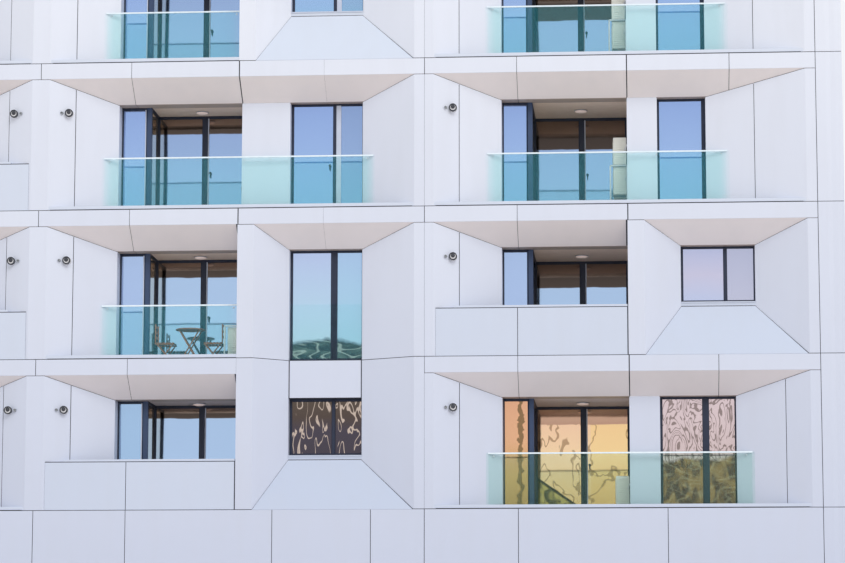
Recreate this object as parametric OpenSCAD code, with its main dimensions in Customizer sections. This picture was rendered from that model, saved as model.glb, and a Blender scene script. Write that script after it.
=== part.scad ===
// Apartment block with a folded white front: four bays and four upper storeys over a plain ground floor.
// Millimetres. X runs along the front, Y from the front to the rear, Z up from the pavement level.
// The origin is the middle of the footprint, at ground level.

/* [Block] */
// Width of one bay, between two party lines
bay_w = 8000; // [7800:50:9000]
// Thickness of the plain party walls that end the block
party_t = 530; // [250:10:700]
// Depth of the block from the front plane to the rear plane
block_d = 12000; // [9000:100:15000]
// Height of the ground floor, up to the first upper floor
ground_h = 4650; // [4300:50:5600]
// Height from floor to floor of the upper storeys
storey_h = 3100; // [3050:10:3400]
// Thickness of the floor and roof slabs
slab_t = 300; // [200:10:400]
// Thickness of the slab on the ground
ground_slab_t = 150; // [100:10:250]

/* [Folded front] */
// Depth of the recesses behind the front plane
recess_d = 560; // [450:10:600]
// Thickness of the wall behind the recesses
wall_t = 400; // [300:10:450]
// Height of every window head above its floor
head_h = 2315; // [2200:5:2400]
// Rise of the sloped soffit from the back of a recess to the front plane
soffit_rise = 455; // [250:5:550]
// Flat front of a rib, on the loggia's side of the party line
rib_loggia_w = 180; // [100:10:400]
// Flat front of a rib, on the window's side of the party line
rib_window_w = 210; // [100:10:400]
// Height of the sloped sill where it meets the wall
sill_slope_h = 1050; // [900:10:1100]
// Upright edge between the sloped sill and the small window
sill_edge_h = 85; // [40:5:120]

/* [Cladding joints] */
// Width of the open joints between the panels
joint_w = 12; // [6:1:20]
// Depth of the open joints between the panels
joint_d = 25; // [15:1:40]
// Distance from the party line to the upright joint in the slanted side beside a loggia
splay_joint_x = 700; // [650:10:1100]
// Width of the panel beside the window in the slanted side of the outer bays
splay_panel_w = 980; // [700:10:1200]

/* [Loggias] */
// Distance from the party line to the loggia opening
loggia_x = 1550; // [1300:10:1800]
// Width of the loggia opening
loggia_w = 2605; // [2400:10:2800]
// Depth of the shallow loggias behind the recess
loggia_shallow_d = 1330; // [1100:10:1600]
// Depth of the deep loggias behind the recess
loggia_deep_d = 2100; // [1800:10:2400]
// Width of the fixed window in the loggia's corner
corner_w = 640; // [500:10:800]
// Width of the post between the corner window and the glazed return
post_w = 120; // [80:5:160]
// Thickness of the loggias' side walls
side_wall_t = 150; // [100:10:250]
// Flat front of the pier beside a loggia
pier_face_w = 325; // [200:5:420]

/* [Windows] */
// Distance from the loggia to the window in the inner bays
window_gap_inner = 995; // [700:5:1050]
// Distance from the loggia to the window beside a pier, in the outer bays
window_gap_outer = 1060; // [700:5:1100]
// Distance from the loggia to the window in a wide recess of the outer bays
window_gap_wide = 605; // [400:5:900]
// Width of a window with two leaves
window_w = 1530; // [1300:10:1700]
// Width of the window in the lowest wide recess of the outer bays
wide_window_w = 1560; // [1300:10:1800]
// Width of a window with one leaf
narrow_window_w = 1015; // [800:5:1300]
// Distance from the back of the recess to the window frames
window_set_back = 200; // [80:10:250]
// Face width of the outer frames
frame_w = 60; // [40:5:80]
// Depth of the outer frames
frame_d = 70; // [60:5:90]
// Face width of mullions and transoms
bar_w = 70; // [40:5:90]
// Depth of mullions and transoms, in front of the glass
bar_d = 40; // [25:5:50]
// Thickness of the insulating glass
pane_t = 24; // [16:2:30]
// Share of the window's width that its wider leaf takes
leaf_share = 0.6; // [0.4:0.05:0.65]
// Height of the transoms above the floor
transom_h = 1000; // [800:10:1200]

/* [Guards] */
// Distance from the glass guard forward of the back of the recess
guard_forward = 140; // [80:5:200]
// Height of the glass guards above the floor
guard_h = 1160; // [1000:10:1250]
// Height of the glass guard of the tall window above its floor
juliet_h = 1200; // [1000:10:1250]
// Thickness of the guard glass
guard_t = 20; // [12:1:24]
// Height of the channel that holds the guard glass
shoe_h = 90; // [60:5:120]
// Depth of the channel that holds the guard glass
shoe_d = 60; // [40:5:80]
// Height of the kerb along the balcony's front edge
kerb_h = 75; // [40:5:120]
// Depth of the kerb along the balcony's front edge
kerb_d = 120; // [60:5:160]
// Height of the solid parapets above the floor, with their coping
parapet_h = 1030; // [950:10:1150]
// Thickness of the solid parapets
parapet_t = 150; // [100:10:200]
// Height of the parapet copings
coping_t = 40; // [30:5:60]
// Distance that a parapet stands behind its coping's front edge
parapet_back = 10; // [5:5:30]

/* [Ground floor] */
// Thickness of the ground floor's front wall
base_t = 300; // [220:10:380]
// Height of the ground floor's openings
base_head_h = 3000; // [2600:50:3200]
// Distance from the party line to the wide ground floor window
base_window_x = 1900; // [1500:50:2100]
// Width of the wide ground floor window
base_window_w = 3005; // [2500:5:3200]
// Distance from the party line to the entrance
entrance_x = 5400; // [5350:10:5700]
// Width of the entrance
entrance_w = 1510; // [1200:10:1700]

/* [Roof] */
// Height of the roof parapet
roof_parapet_h = 900; // [600:10:1200]
// Thickness of the roof parapet
roof_parapet_t = 300; // [200:10:400]
// Thickness of the roof coping
roof_coping_t = 50; // [30:5:80]
// Overhang of the roof coping
roof_coping_out = 30; // [10:5:50]
// Thickness of the gravel on the roof
gravel_t = 60; // [40:5:120]

/* [Fittings] */
// Diameter of the wall plates of the flue terminals
flue_d = 150; // [135:5:180]
// Outer diameter of the air intake round a flue
intake_d = 110; // [90:5:125]
// Outer diameter of the exhaust pipe in the middle of a flue
exhaust_d = 60; // [45:5:70]
// Wall of the flue's pipes
flue_wall = 4; // [3:1:6]
// Diameter of the small pipes beside the flues
pipe_d = 50; // [30:2:70]
// Height of the flues above the floor
flue_h = 2060; // [1800:10:2100]
// Distance from the party line to the flues
flue_x = 580; // [520:10:600]
// Distance from a flue to the small pipe beside it
pipe_gap = 150; // [130:5:180]
// Diameter of the ceiling lights
light_d = 280; // [180:10:360]
// Height of the ceiling lights
light_h = 60; // [30:5:90]
// Width of an air conditioner, along the loggia's side wall
ac_w = 780; // [650:10:820]
// Depth of an air conditioner, away from the side wall
ac_d = 290; // [240:5:340]
// Height of an air conditioner
ac_h = 580; // [480:10:600]
// Height of the feet under an air conditioner that stands on the floor
foot_h = 150; // [80:10:200]
// Height above the floor of the lower one in a stack of two air conditioners
stack_h = 390; // [300:10:450]
// Gap between two stacked air conditioners
stack_gap = 45; // [30:5:80]
// Gap between an air conditioner and the wall behind it
ac_gap = 25; // [15:5:60]
// Thickness of the brackets and feet
bracket_t = 30; // [20:2:40]
// Distance from an air conditioner's ends to its brackets
bracket_in = 120; // [60:10:200]

/* [Furniture] */
// Height of the balcony table
table_h = 740; // [650:10:780]
// Diameter of the balcony table
table_d = 600; // [500:10:700]
// Height of the chair seats
seat_h = 450; // [400:10:480]
// Side of the square sticks that the furniture is made of
stick = 25; // [18:1:30]
// Width over the crossed legs of the table
leg_spread = 420; // [350:10:480]
// Width and depth of the chair seats
chair_w = 380; // [340:10:420]
// Height of the chair backs above the seats
chair_back_h = 380; // [320:10:450]
// Distance from the table's middle to the chairs' middles
chair_reach = 500; // [480:10:560]

/* [Hidden] */
white = [0.89, 0.90, 0.94];
grey_white = [0.80, 0.82, 0.89];
soffit_grey = [0.76, 0.73, 0.74];
concrete = [0.62, 0.61, 0.60];
anthracite = [0.16, 0.17, 0.21];
pane_blue = [0.62, 0.73, 0.88, 0.5];
guard_green = [0.60, 0.85, 0.86, 0.5];
metal = [0.70, 0.72, 0.74];
housing = [0.86, 0.87, 0.85];
timber = [0.47, 0.33, 0.24];

// Places that follow from the sizes above
loggia_right = loggia_x + loggia_w;
wall_back = recess_d + wall_t;
soffit_h = head_h + soffit_rise;
sill_h = sill_slope_h + sill_edge_h;
guard_y = recess_d - guard_forward;
rear_in = block_d - wall_t;
storeys = 4;
bays_a_side = 2;
rear_windows_a_bay = 2;
base_window_leaves = 3;
front_half = bays_a_side * bay_w;
block_half = front_half + party_t;
roof_z = ground_h + storeys * storey_h;
ceiling_h = storey_h - slab_t;
post_x = loggia_x + corner_w;
corner_window_w = corner_w - post_w + frame_w;
door_x = post_x - frame_d;
door_w = loggia_right - door_x;
frame_y = recess_d + window_set_back;
corner_frame_y = wall_back - frame_d;
// Reach of a cutting shape past the face that it opens
cut = 10;
// Free joint between the ends of a glass guard and the slanted walls
end_gap = 10;
// Shares of an air conditioner's height and width that its fan dish, its hub and its fan's place take
fan_share = 0.82;
hub_share = 0.2;
fan_place = 0.4;
// The furniture's place in its loggia, and the make-up of its seats and backs
table_place = 0.56;
seat_slats = 6;
slat_share = 0.75;
back_slats = [0.3, 0.6, 0.9];

// Every storey of a bay, from the lowest up: its recess, its guard, its window,
// the window's distance from the loggia, and its width. A tall recess runs through two storeys.
inner_right = [
    ["tall_low", "solid", "small", window_gap_inner, window_w],
    ["tall_high", "glass", "french", window_gap_inner, window_w],
    ["wide", "glass", "french", window_gap_inner, window_w],
    ["pier", "glass", "small", window_gap_inner, window_w]
];
inner_left = [
    ["tall_low", "glass", "small", window_gap_inner, window_w],
    ["tall_high", "solid", "french", window_gap_inner, window_w],
    ["pier", "solid", "small", window_gap_inner, window_w],
    ["pier", "glass", "small", window_gap_inner, window_w]
];
outer = [
    ["wide", "glass", "french", window_gap_wide, wide_window_w],
    ["pier", "solid", "small", window_gap_outer, window_w],
    ["wide", "glass", "narrow", window_gap_wide, narrow_window_w],
    ["wide", "glass", "narrow", window_gap_wide, narrow_window_w]
];

// Every bay: its side of the middle party line, its place outwards, its storeys and its loggias' depth
bays = [
    [1, 0, inner_right, loggia_shallow_d],
    [1, 1, outer, loggia_deep_d],
    [-1, 0, inner_left, loggia_shallow_d],
    [-1, 1, outer, loggia_deep_d]
];

function floor_z(n) = ground_h + n * storey_h;

// What the cell at hand holds
function recess() = $cell[0];
function tall() = recess() == "tall_low";
function guard() = $cell[1];
function window() = $cell[2];
function window_x() = loggia_right + $cell[3];
function window_right() = window_x() + $cell[4];
function window_low() = window() == "small" ? sill_h : 0;
function door_y() = recess_d + $loggia_d;

// Where the slanted sides of a recess stand at depth y behind the front plane
function slant(front, back, y) = front + (back - front) * y / recess_d;
function loggia_splay(y) = slant(rib_loggia_w, loggia_x, y);
function window_splay(y) = slant(bay_w - rib_window_w, window_right(), y);
function pier_splay(y) = slant(loggia_right + pier_face_w, window_x(), y);
// The depth at which the slanted side beside a loggia stands at a distance x from the party line
function splay_depth(x) = recess_d * (x - rib_loggia_w) / (loggia_x - rib_loggia_w);
// Where a balcony ends on its right: at a pier, or at the far side of a wide recess
function balcony_right(y) = recess() == "wide" ? window_splay(y) : loggia_right;

// Spans between the bars of a frame
function spans(low, high, bars) =
    let (edges = concat([low], [for (b = bars) each [b - bar_w / 2, b + bar_w / 2]], [high]))
    [for (i = [0:2:len(edges) - 1]) [edges[i], edges[i + 1]]];

// The children once on each side of the middle party line
module both_sides() {
    children();
    mirror([1, 0, 0]) children();
}

// The children in every bay, from its inner party line outwards
module each_bay() {
    for (bay = bays) {
        $place = bay[1];
        $loggia_d = bay[3];
        $column = bay[2];
        if (bay[0] > 0) translate([$place * bay_w, 0, 0]) children();
        else mirror([1, 0, 0]) translate([$place * bay_w, 0, 0]) children();
    }
}

// The children in every storey of every bay, at its floor
module each_cell() {
    each_bay() for (n = [0:storeys - 1]) {
        $cell = $column[n];
        translate([0, 0, floor_z(n)]) children();
    }
}

// The children with the middle of the block's depth at the origin
module centred() translate([0, -block_d / 2, 0]) children();

module block(low, high) {
    translate(low) cube(high - low);
}

// An outline in plan, raised from one height to another
module upright(plan, low, high) {
    translate([0, 0, low]) linear_extrude(high - low) polygon(plan);
}

// An outline in depth and height, carried along the front
module along_front(section, from, to) {
    translate([from, 0, 0]) rotate([90, 0, 90]) linear_extrude(to - from) polygon(section);
}

// A part of the folded front: an outline in plan whose top follows the sloped soffit
module folded(plan, rows) {
    top = (rows - 1) * storey_h;
    intersection() {
        upright(plan, 0, top + soffit_h);
        along_front([[0, 0], [recess_d, 0], [recess_d, top + head_h], [0, top + soffit_h]], 0, bay_w);
    }
}

// A balcony strip between the slanted sides, from depth y0 to y1
module balcony_strip(y0, y1, low, high) {
    left = [for (y = [y1, y0]) [loggia_splay(y), y]];
    right = [for (y = [y0, y1]) [balcony_right(y), y]];
    upright(concat(left, right), low, high);
}

// A frame with bars in front of one sheet of glass
module frame(w, h, mullions, transoms, foot) {
    difference() {
        cube([w, frame_d, h]);
        translate([frame_w, bar_d, foot]) cube([w - 2 * frame_w, frame_d, h - frame_w - foot]);
        for (x = spans(frame_w, w - frame_w, mullions), z = spans(foot, h - frame_w, transoms))
            block([x[0], -cut, z[0]], [x[1], bar_d + cut, z[1]]);
    }
}

module pane(w, h, foot) {
    block([frame_w, bar_d, foot], [w - frame_w, bar_d + pane_t, h - frame_w]);
}

// Open joints between the cladding panels, as slots to cut out of what lies behind them

// An upright joint at x that reaches from the front to depth y and joint_d further
module upright_joint(x, y, low, high) {
    block([x - joint_w / 2, -cut, low], [x + joint_w / 2, y + joint_d, high]);
}

// A joint along the front's foot or a rib's head, at height z
module level_joint(x0, x1, z) {
    block([x0, -cut, z - joint_w], [x1, joint_d, z + cut]);
}

// A joint over the front face of a band and up its sloped soffit
module band_joint(x) {
    low = head_h - storey_h;
    front_low = soffit_h - storey_h;
    along_front([
        [-cut, cut], [joint_d, cut], [joint_d, front_low + joint_d],
        [recess_d + joint_d, low + joint_d], [recess_d + joint_d, low - cut], [-cut, front_low - cut]
    ], x - joint_w / 2, x + joint_w / 2);
}

// The joint that runs round a folded pier or rib where it passes a floor
module floor_joint(plan) {
    difference() {
        block([0, -cut, storey_h - joint_w], [bay_w, recess_d, storey_h]);
        translate([0, joint_d, storey_h - 2 * joint_w]) linear_extrude(3 * joint_w) polygon(plan);
    }
}

// Slabs, outer walls and roof

module ground_slab() color(concrete)
    block([-front_half, base_t, 0], [front_half, rear_in, ground_slab_t]);

module floor_slabs() color(concrete)
    for (n = [0:storeys - 1])
        block([-front_half, wall_back, floor_z(n) - slab_t], [front_half, rear_in, floor_z(n)]);

module roof_slab() color(concrete)
    block([-front_half, wall_back, roof_z - slab_t], [front_half, rear_in, roof_z]);

module roof_gravel() color(concrete)
    block([roof_parapet_t - block_half, roof_parapet_t, roof_z],
        [block_half - roof_parapet_t, block_d - roof_parapet_t, roof_z + gravel_t]);

module roof_parapets() color(grey_white)
    for (y = [0, block_d - roof_parapet_t])
        block([-block_half, y, roof_z], [block_half, y + roof_parapet_t, roof_z + roof_parapet_h]);

module roof_end_parapets() color(grey_white) both_sides()
    block([block_half - roof_parapet_t, roof_parapet_t, roof_z],
        [block_half, block_d - roof_parapet_t, roof_z + roof_parapet_h]);

module roof_copings() color(metal)
    for (y = [0, block_d - roof_parapet_t])
        translate([0, 0, roof_z + roof_parapet_h])
            block([-block_half - roof_coping_out, y - roof_coping_out, 0],
                [block_half + roof_coping_out, y + roof_parapet_t + roof_coping_out, roof_coping_t]);

module roof_end_copings() color(metal) both_sides()
    translate([0, 0, roof_z + roof_parapet_h])
        block([block_half - roof_parapet_t - roof_coping_out, roof_parapet_t + roof_coping_out, 0],
            [block_half + roof_coping_out, block_d - roof_parapet_t - roof_coping_out, roof_coping_t]);

module party_walls() color(white) both_sides()
    block([front_half, 0, 0], [block_half, block_d, roof_z]);

// Ground floor

module base_opening(x, w) block([x, -cut, -cut], [x + w, base_t + cut, base_head_h + cut]);

module base_openings() each_bay() {
    base_opening(base_window_x, base_window_w);
    base_opening(entrance_x, entrance_w);
}

base_joints = [0, base_window_x, base_window_x + base_window_w, entrance_x + entrance_w, bay_w];

module base_piers() color(grey_white) difference() {
    block([-front_half, 0, 0], [front_half, base_t, base_head_h]);
    base_openings();
}

module base_fascia() color(grey_white) difference() {
    top = floor_z(0) - storey_h + head_h;
    block([-front_half, 0, base_head_h], [front_half, base_t, top]);
    each_bay() for (x = base_joints) upright_joint(x, 0, base_head_h - cut, top + cut);
}

module base_window_frames() color(anthracite) each_bay() {
    leaves = [for (i = [1:base_window_leaves - 1]) base_window_w * i / base_window_leaves];
    translate([base_window_x, window_set_back, 0])
        frame(base_window_w, base_head_h, leaves, [head_h], ground_slab_t);
    if ($place > 0) translate([entrance_x, window_set_back, 0])
        frame(entrance_w, base_head_h, [entrance_w / 2], [head_h], ground_slab_t);
}

module base_pane(x, w) translate([x, window_set_back, 0]) pane(w, base_head_h, ground_slab_t);

module base_window_glass() color(pane_blue) each_bay() {
    base_pane(base_window_x, base_window_w);
    if ($place > 0) base_pane(entrance_x, entrance_w);
}

module entrance_doors() color(anthracite) each_bay()
    if ($place == 0) translate([entrance_x, window_set_back, 0])
        frame(entrance_w, base_head_h, [entrance_w * leaf_share], [head_h], ground_slab_t);

module entrance_glass() color(pane_blue) each_bay() if ($place == 0) base_pane(entrance_x, entrance_w);

// Folded front

// The lowest band has no soffit. The others are cut out where a tall recess passes them.
module slab_bands() color(white) {
    low = head_h - storey_h;
    front_low = soffit_h - storey_h;
    translate([0, 0, floor_z(0)]) difference() {
        block([-front_half, 0, low], [front_half, wall_back, 0]);
        level_joint(-front_half - cut, front_half + cut, 0);
        each_bay() for (x = base_joints) upright_joint(x, 0, low - cut, cut);
    }
    for (n = [1:storeys]) translate([0, 0, floor_z(n)]) difference() {
        along_front([[0, front_low], [recess_d, low], [wall_back, low], [wall_back, 0], [0, 0]],
            -front_half, front_half);
        level_joint(-front_half - cut, front_half + cut, 0);
        each_bay() {
            for (x = [0, base_window_x, loggia_right, bay_w]) band_joint(x);
            if (n < storeys && $column[n][0] == "tall_high")
                block([loggia_right, -cut, low - cut], [bay_w, wall_back + cut, cut]);
        }
    }
}

module front_walls() color(white) for (n = [0:storeys - 1]) translate([0, 0, floor_z(n)]) difference() {
    block([-front_half, recess_d, 0], [front_half, wall_back, head_h]);
    each_bay() {
        $cell = $column[n];
        for (x = [[loggia_x, loggia_right], [window_x(), window_right()]])
            block([x[0], recess_d - cut, -cut], [x[1], wall_back + cut, head_h + cut]);
    }
}

// Outlines in plan of the ribs beside the party lines and of the pier beside a loggia
function loggia_rib() = [[0, 0], [rib_loggia_w, 0], [loggia_x, recess_d], [0, recess_d]];
function window_rib() = [[window_splay(0), 0], [bay_w, 0], [bay_w, recess_d], [window_right(), recess_d]];
function pier() = [[loggia_right, 0], [pier_splay(0), 0], [window_x(), recess_d], [loggia_right, recess_d]];

module loggia_side_ribs() color(white) each_cell() difference() {
    folded(loggia_rib(), 1);
    upright_joint(0, 0, -cut, soffit_h + cut);
    upright_joint(splay_joint_x, splay_depth(splay_joint_x), -cut, soffit_h + cut);
    level_joint(-cut, rib_loggia_w + cut, soffit_h);
}

module window_side_ribs() color(white) each_cell() if (recess() != "tall_high") {
    rows = tall() ? 2 : 1;
    top = (rows - 1) * storey_h + soffit_h;
    panel_x = window_right() + splay_panel_w;
    panel_depth = recess_d * (window_splay(0) - panel_x) / (window_splay(0) - window_right());
    difference() {
        folded(window_rib(), rows);
        upright_joint(bay_w, 0, -cut, top + cut);
        level_joint(window_splay(0) - cut, bay_w + cut, top);
        if (tall()) floor_joint(window_rib());
        if (recess() == "wide" && $place > 0) upright_joint(panel_x, panel_depth, -cut, top + cut);
    }
}

module window_piers() color(white) each_cell() if (recess() == "pier" || tall()) difference() {
    folded(pier(), tall() ? 2 : 1);
    if (tall()) floor_joint(pier());
}

// The wall over a small window in a tall recess, where the slab band stops
module head_panels() color(grey_white) each_cell()
    if (recess() == "tall_low") block([loggia_right, recess_d, head_h], [bay_w, wall_back, storey_h]);

module sloped_sills() color(grey_white) each_cell()
    if (window() == "small") intersection() {
        front = [[pier_splay(0), 0], [window_splay(0), 0]];
        back = [[window_right(), recess_d], [window_x(), recess_d]];
        upright(concat(front, back), 0, sill_slope_h);
        along_front([[0, 0], [recess_d, 0], [recess_d, sill_slope_h]], 0, bay_w);
    }

module window_spandrels() color(grey_white) each_cell()
    if (window() == "small") block([window_x(), recess_d, 0], [window_right(), wall_back, sill_h]);

// Windows

module window_frames() color(anthracite) each_cell() {
    w = window_right() - window_x();
    leaf = window() == "narrow" ? [] : [w * leaf_share];
    rail = window() == "small" ? [] : [transom_h];
    translate([window_x(), frame_y, window_low()]) frame(w, head_h - window_low(), leaf, rail, frame_w);
}

module window_glass() color(pane_blue) each_cell()
    translate([window_x(), frame_y, window_low()])
        pane(window_right() - window_x(), head_h - window_low(), frame_w);

// The fixed window in the loggia's corner, whose right edge lies in a wide post
module corner_frames() color(anthracite) each_cell() translate([loggia_x, corner_frame_y, 0]) {
    frame(corner_window_w, head_h, [], [transom_h], frame_w);
    translate([corner_w - post_w, 0, 0]) cube([post_w, frame_d, head_h]);
}

// The glazed return between the corner post and the doors: a window turned to face the loggia
module return_frames() color(anthracite) each_cell()
    translate([post_x, wall_back, 0]) rotate([0, 0, 90])
        frame(door_y() - wall_back, head_h, [], [transom_h], frame_w);

module corner_glass() color(pane_blue) each_cell()
    translate([loggia_x, corner_frame_y, 0]) pane(corner_window_w, head_h, frame_w);

module return_glass() color(pane_blue) each_cell()
    translate([post_x, wall_back, 0]) rotate([0, 0, 90]) pane(door_y() - wall_back, head_h, frame_w);

// The sliding doors between the return and the side wall
module loggia_door_frames() color(anthracite) each_cell()
    translate([door_x, door_y(), 0]) frame(door_w, head_h, [(door_w + frame_d) / 2], [], frame_w);

module loggia_door_glass() color(pane_blue) each_cell()
    translate([door_x, door_y(), 0]) pane(door_w, head_h, frame_w);

module loggia_side_walls() color(grey_white) each_cell()
    block([loggia_right, wall_back, 0], [loggia_right + side_wall_t, door_y() + frame_d, ceiling_h]);

module loggia_ceilings() color(soffit_grey) each_cell()
    block([door_x, wall_back, head_h], [loggia_right, door_y() + frame_d, ceiling_h]);

module ceiling_lights() color(white) each_cell()
    translate([(post_x + loggia_right) / 2, (wall_back + door_y()) / 2, head_h - light_h])
        cylinder(d = light_d, h = light_h);

// Guards

module loggia_parapets() color(grey_white) each_cell() if (guard() == "solid") difference() {
    balcony_strip(parapet_back, parapet_back + parapet_t, 0, parapet_h - coping_t);
    upright_joint(base_window_x, parapet_back, -cut, parapet_h);
}

module parapet_copings() color(white) each_cell()
    if (guard() == "solid") balcony_strip(0, 2 * parapet_back + parapet_t, parapet_h - coping_t, parapet_h);

module balcony_kerbs() color(white) each_cell()
    if (guard() == "glass") balcony_strip(0, kerb_d, 0, kerb_h);

module guard_shoes() color(metal) each_cell() if (guard() == "glass") {
    back = guard_y + (guard_t + shoe_d) / 2;
    block([loggia_splay(back) + end_gap, back - shoe_d, 0], [balcony_right(back) - end_gap, back, shoe_h]);
}

module guard_glass() color(guard_green) each_cell() if (guard() == "glass") {
    back = guard_y + guard_t;
    block([loggia_splay(back) + end_gap, guard_y, shoe_h], [balcony_right(back) - end_gap, back, guard_h]);
}

// The tall window's guard hangs on its frame
module juliet_glass() color(guard_green) each_cell() if (recess() == "tall_high")
    block([window_x(), frame_y - guard_t, 0], [window_right(), frame_y, juliet_h]);

// Fittings

module level_tube(x, y, d, h) translate([x, y, flue_h]) rotate([-90, 0, 0]) cylinder(d = d, h = h);

// A level tube that stands out of the slanted side at x, by half its diameter
module wall_tube(x, d) difference() {
    level_tube(x, splay_depth(x) - d / 2, d, d);
    upright(loggia_rib(), 0, head_h);
}

// A plate on the slanted side that holds a round air intake, with the exhaust pipe in its middle
module flue_terminals() color(anthracite) each_cell() {
    y = splay_depth(flue_x) - intake_d;
    reach = intake_d / 2;
    difference() {
        union() {
            wall_tube(flue_x, flue_d);
            level_tube(flue_x, y, intake_d, reach);
        }
        difference() {
            level_tube(flue_x, y - cut, intake_d - 2 * flue_wall, reach + cut);
            level_tube(flue_x, y, exhaust_d, reach);
        }
        level_tube(flue_x, y - cut, exhaust_d - 2 * flue_wall, reach + cut);
    }
}

module vent_pipes() color(anthracite) each_cell() wall_tube(flue_x - pipe_gap, pipe_d);

// Air conditioners stand on low feet or hang in a stack of two on wall brackets
function ac_places() =
    window() == "narrow" ? [stack_h, stack_h + ac_h + stack_gap] :
    recess() == "wide" && $place > 0 ? [foot_h] :
    recess() == "tall_high" && guard() == "glass" ? [foot_h] : [];
function ac_x() = loggia_right - ac_gap - ac_d;
function ac_y() = (guard_y + shoe_d + door_y() - ac_w) / 2;

// A casing with a round dish in the side that faces the loggia, and the fan's hub left standing in it
module air_conditioners() color(housing) each_cell() for (z = ac_places())
    translate([ac_x(), ac_y(), z]) difference() {
        cube([ac_d, ac_w, ac_h]);
        translate([-cut, ac_w * fan_place, ac_h / 2]) rotate([0, 90, 0]) difference() {
            cylinder(d = ac_h * fan_share, h = cut + bracket_t);
            cylinder(d = ac_h * hub_share, h = cut + bracket_t);
        }
    }

module ac_bracket(z) {
    if (z == foot_h) cube([ac_d, bracket_t, foot_h]);
    else union() {
        block([0, 0, z - bracket_t], [ac_d + ac_gap, bracket_t, z]);
        block([ac_d, 0, z - bracket_t - ac_h / 2], [ac_d + ac_gap, bracket_t, z]);
    }
}

module ac_brackets() color(metal) each_cell()
    for (z = ac_places(), y = [bracket_in, ac_w - bracket_in - bracket_t])
        translate([ac_x(), ac_y() + y, 0]) ac_bracket(z);

// Furniture in the loggia that has a glass guard beside the tall window

// Crossed legs of a given spread, cut level at the floor and under the seat or top
module legs(w, h) {
    lean = atan2(w - stick, h);
    intersection() {
        translate([0, 0, h / 2]) for (side = [-1, 1])
            rotate([0, side * lean, 0]) translate([-stick / 2, 0, -h]) cube([stick, stick, 2 * h]);
        translate([-w, -stick, 0]) cube([2 * w, 3 * stick, h]);
    }
}

module furnished() each_cell()
    if (recess() == "tall_high" && guard() == "glass")
        translate([loggia_x + loggia_w * table_place, (guard_y + shoe_d + door_y()) / 2, 0]) children();

module balcony_table() color(timber) furnished() {
    translate([0, 0, table_h - stick]) cylinder(d = table_d, h = stick);
    for (y = [-table_d / 4, table_d / 4])
        translate([0, y - stick / 2, 0]) legs(leg_spread, table_h - stick);
    block([-stick / 2, -table_d / 4, table_h / 2 - stick], [stick / 2, table_d / 4, table_h / 2]);
}

// Rails on crossed legs, slats on the rails, and two posts behind them that hold the back's slats
module chair() {
    edge = chair_w / 2;
    pitch = (chair_w + (1 - slat_share) * chair_w / seat_slats) / seat_slats;
    rail_z = seat_h - 2 * stick;
    for (y = [-edge, edge - stick]) {
        translate([0, y, 0]) legs(chair_w - stick, rail_z);
        block([-edge, y, rail_z], [edge, y + stick, rail_z + stick]);
        block([-edge - stick, y, rail_z], [-edge, y + stick, seat_h + chair_back_h]);
    }
    for (i = [0:seat_slats - 1]) translate([i * pitch - edge, 0, rail_z + stick])
        block([0, -edge, 0], [pitch * slat_share, edge, stick]);
    for (share = back_slats) translate([-edge, 0, seat_h + chair_back_h * share])
        block([-stick, stick - edge, 0], [0, edge - stick, stick]);
}

module balcony_chairs() color(timber) furnished() for (turn = [0, 180])
    rotate([0, 0, turn]) translate([-chair_reach, 0, 0]) chair();

// Rear wall, a plain repeat of the storeys

rear_floors = concat([ground_slab_t], [for (n = [0:storeys - 1]) floor_z(n)]);
rear_pitch = bay_w / rear_windows_a_bay;
rear_first_x = (rear_pitch - window_w) / 2 - front_half;
rear_windows = [for (i = [0:2 * bays_a_side * rear_windows_a_bay - 1]) rear_first_x + i * rear_pitch];

module rear_bands() color(white) for (i = [0:storeys + 1])
    block([-front_half, rear_in, i == 0 ? 0 : rear_floors[i - 1] + head_h],
        [front_half, block_d, i > storeys ? roof_z : rear_floors[i] + sill_h]);

module rear_piers() color(white) for (z = rear_floors) difference() {
    block([-front_half, rear_in, z + sill_h], [front_half, block_d, z + head_h]);
    for (x = rear_windows)
        block([x, rear_in - cut, z + sill_h - cut], [x + window_w, block_d + cut, z + head_h + cut]);
}

module rear_window_places() for (x = rear_windows, z = rear_floors)
    translate([x + window_w, block_d - window_set_back, z + sill_h]) rotate([0, 0, 180]) children();

module rear_frames() color(anthracite) rear_window_places()
    frame(window_w, head_h - sill_h, [window_w * leaf_share], [], frame_w);

module rear_glass() color(pane_blue) rear_window_places() pane(window_w, head_h - sill_h, frame_w);

centred() ground_slab();
centred() floor_slabs();
centred() roof_slab();
centred() roof_gravel();
centred() roof_parapets();
centred() roof_end_parapets();
centred() roof_copings();
centred() roof_end_copings();
centred() party_walls();
centred() base_piers();
centred() base_fascia();
centred() base_window_frames();
centred() base_window_glass();
centred() entrance_doors();
centred() entrance_glass();
centred() slab_bands();
centred() front_walls();
centred() loggia_side_ribs();
centred() window_side_ribs();
centred() window_piers();
centred() sloped_sills();
centred() window_spandrels();
centred() head_panels();
centred() loggia_parapets();
centred() parapet_copings();
centred() balcony_kerbs();
centred() guard_shoes();
centred() guard_glass();
centred() juliet_glass();
centred() window_frames();
centred() window_glass();
centred() corner_frames();
centred() corner_glass();
centred() return_frames();
centred() return_glass();
centred() loggia_door_frames();
centred() loggia_door_glass();
centred() loggia_side_walls();
centred() loggia_ceilings();
centred() ceiling_lights();
centred() flue_terminals();
centred() vent_pipes();
centred() air_conditioners();
centred() ac_brackets();
centred() balcony_table();
centred() balcony_chairs();
centred() rear_bands();
centred() rear_piers();
centred() rear_frames();
centred() rear_glass();
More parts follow.
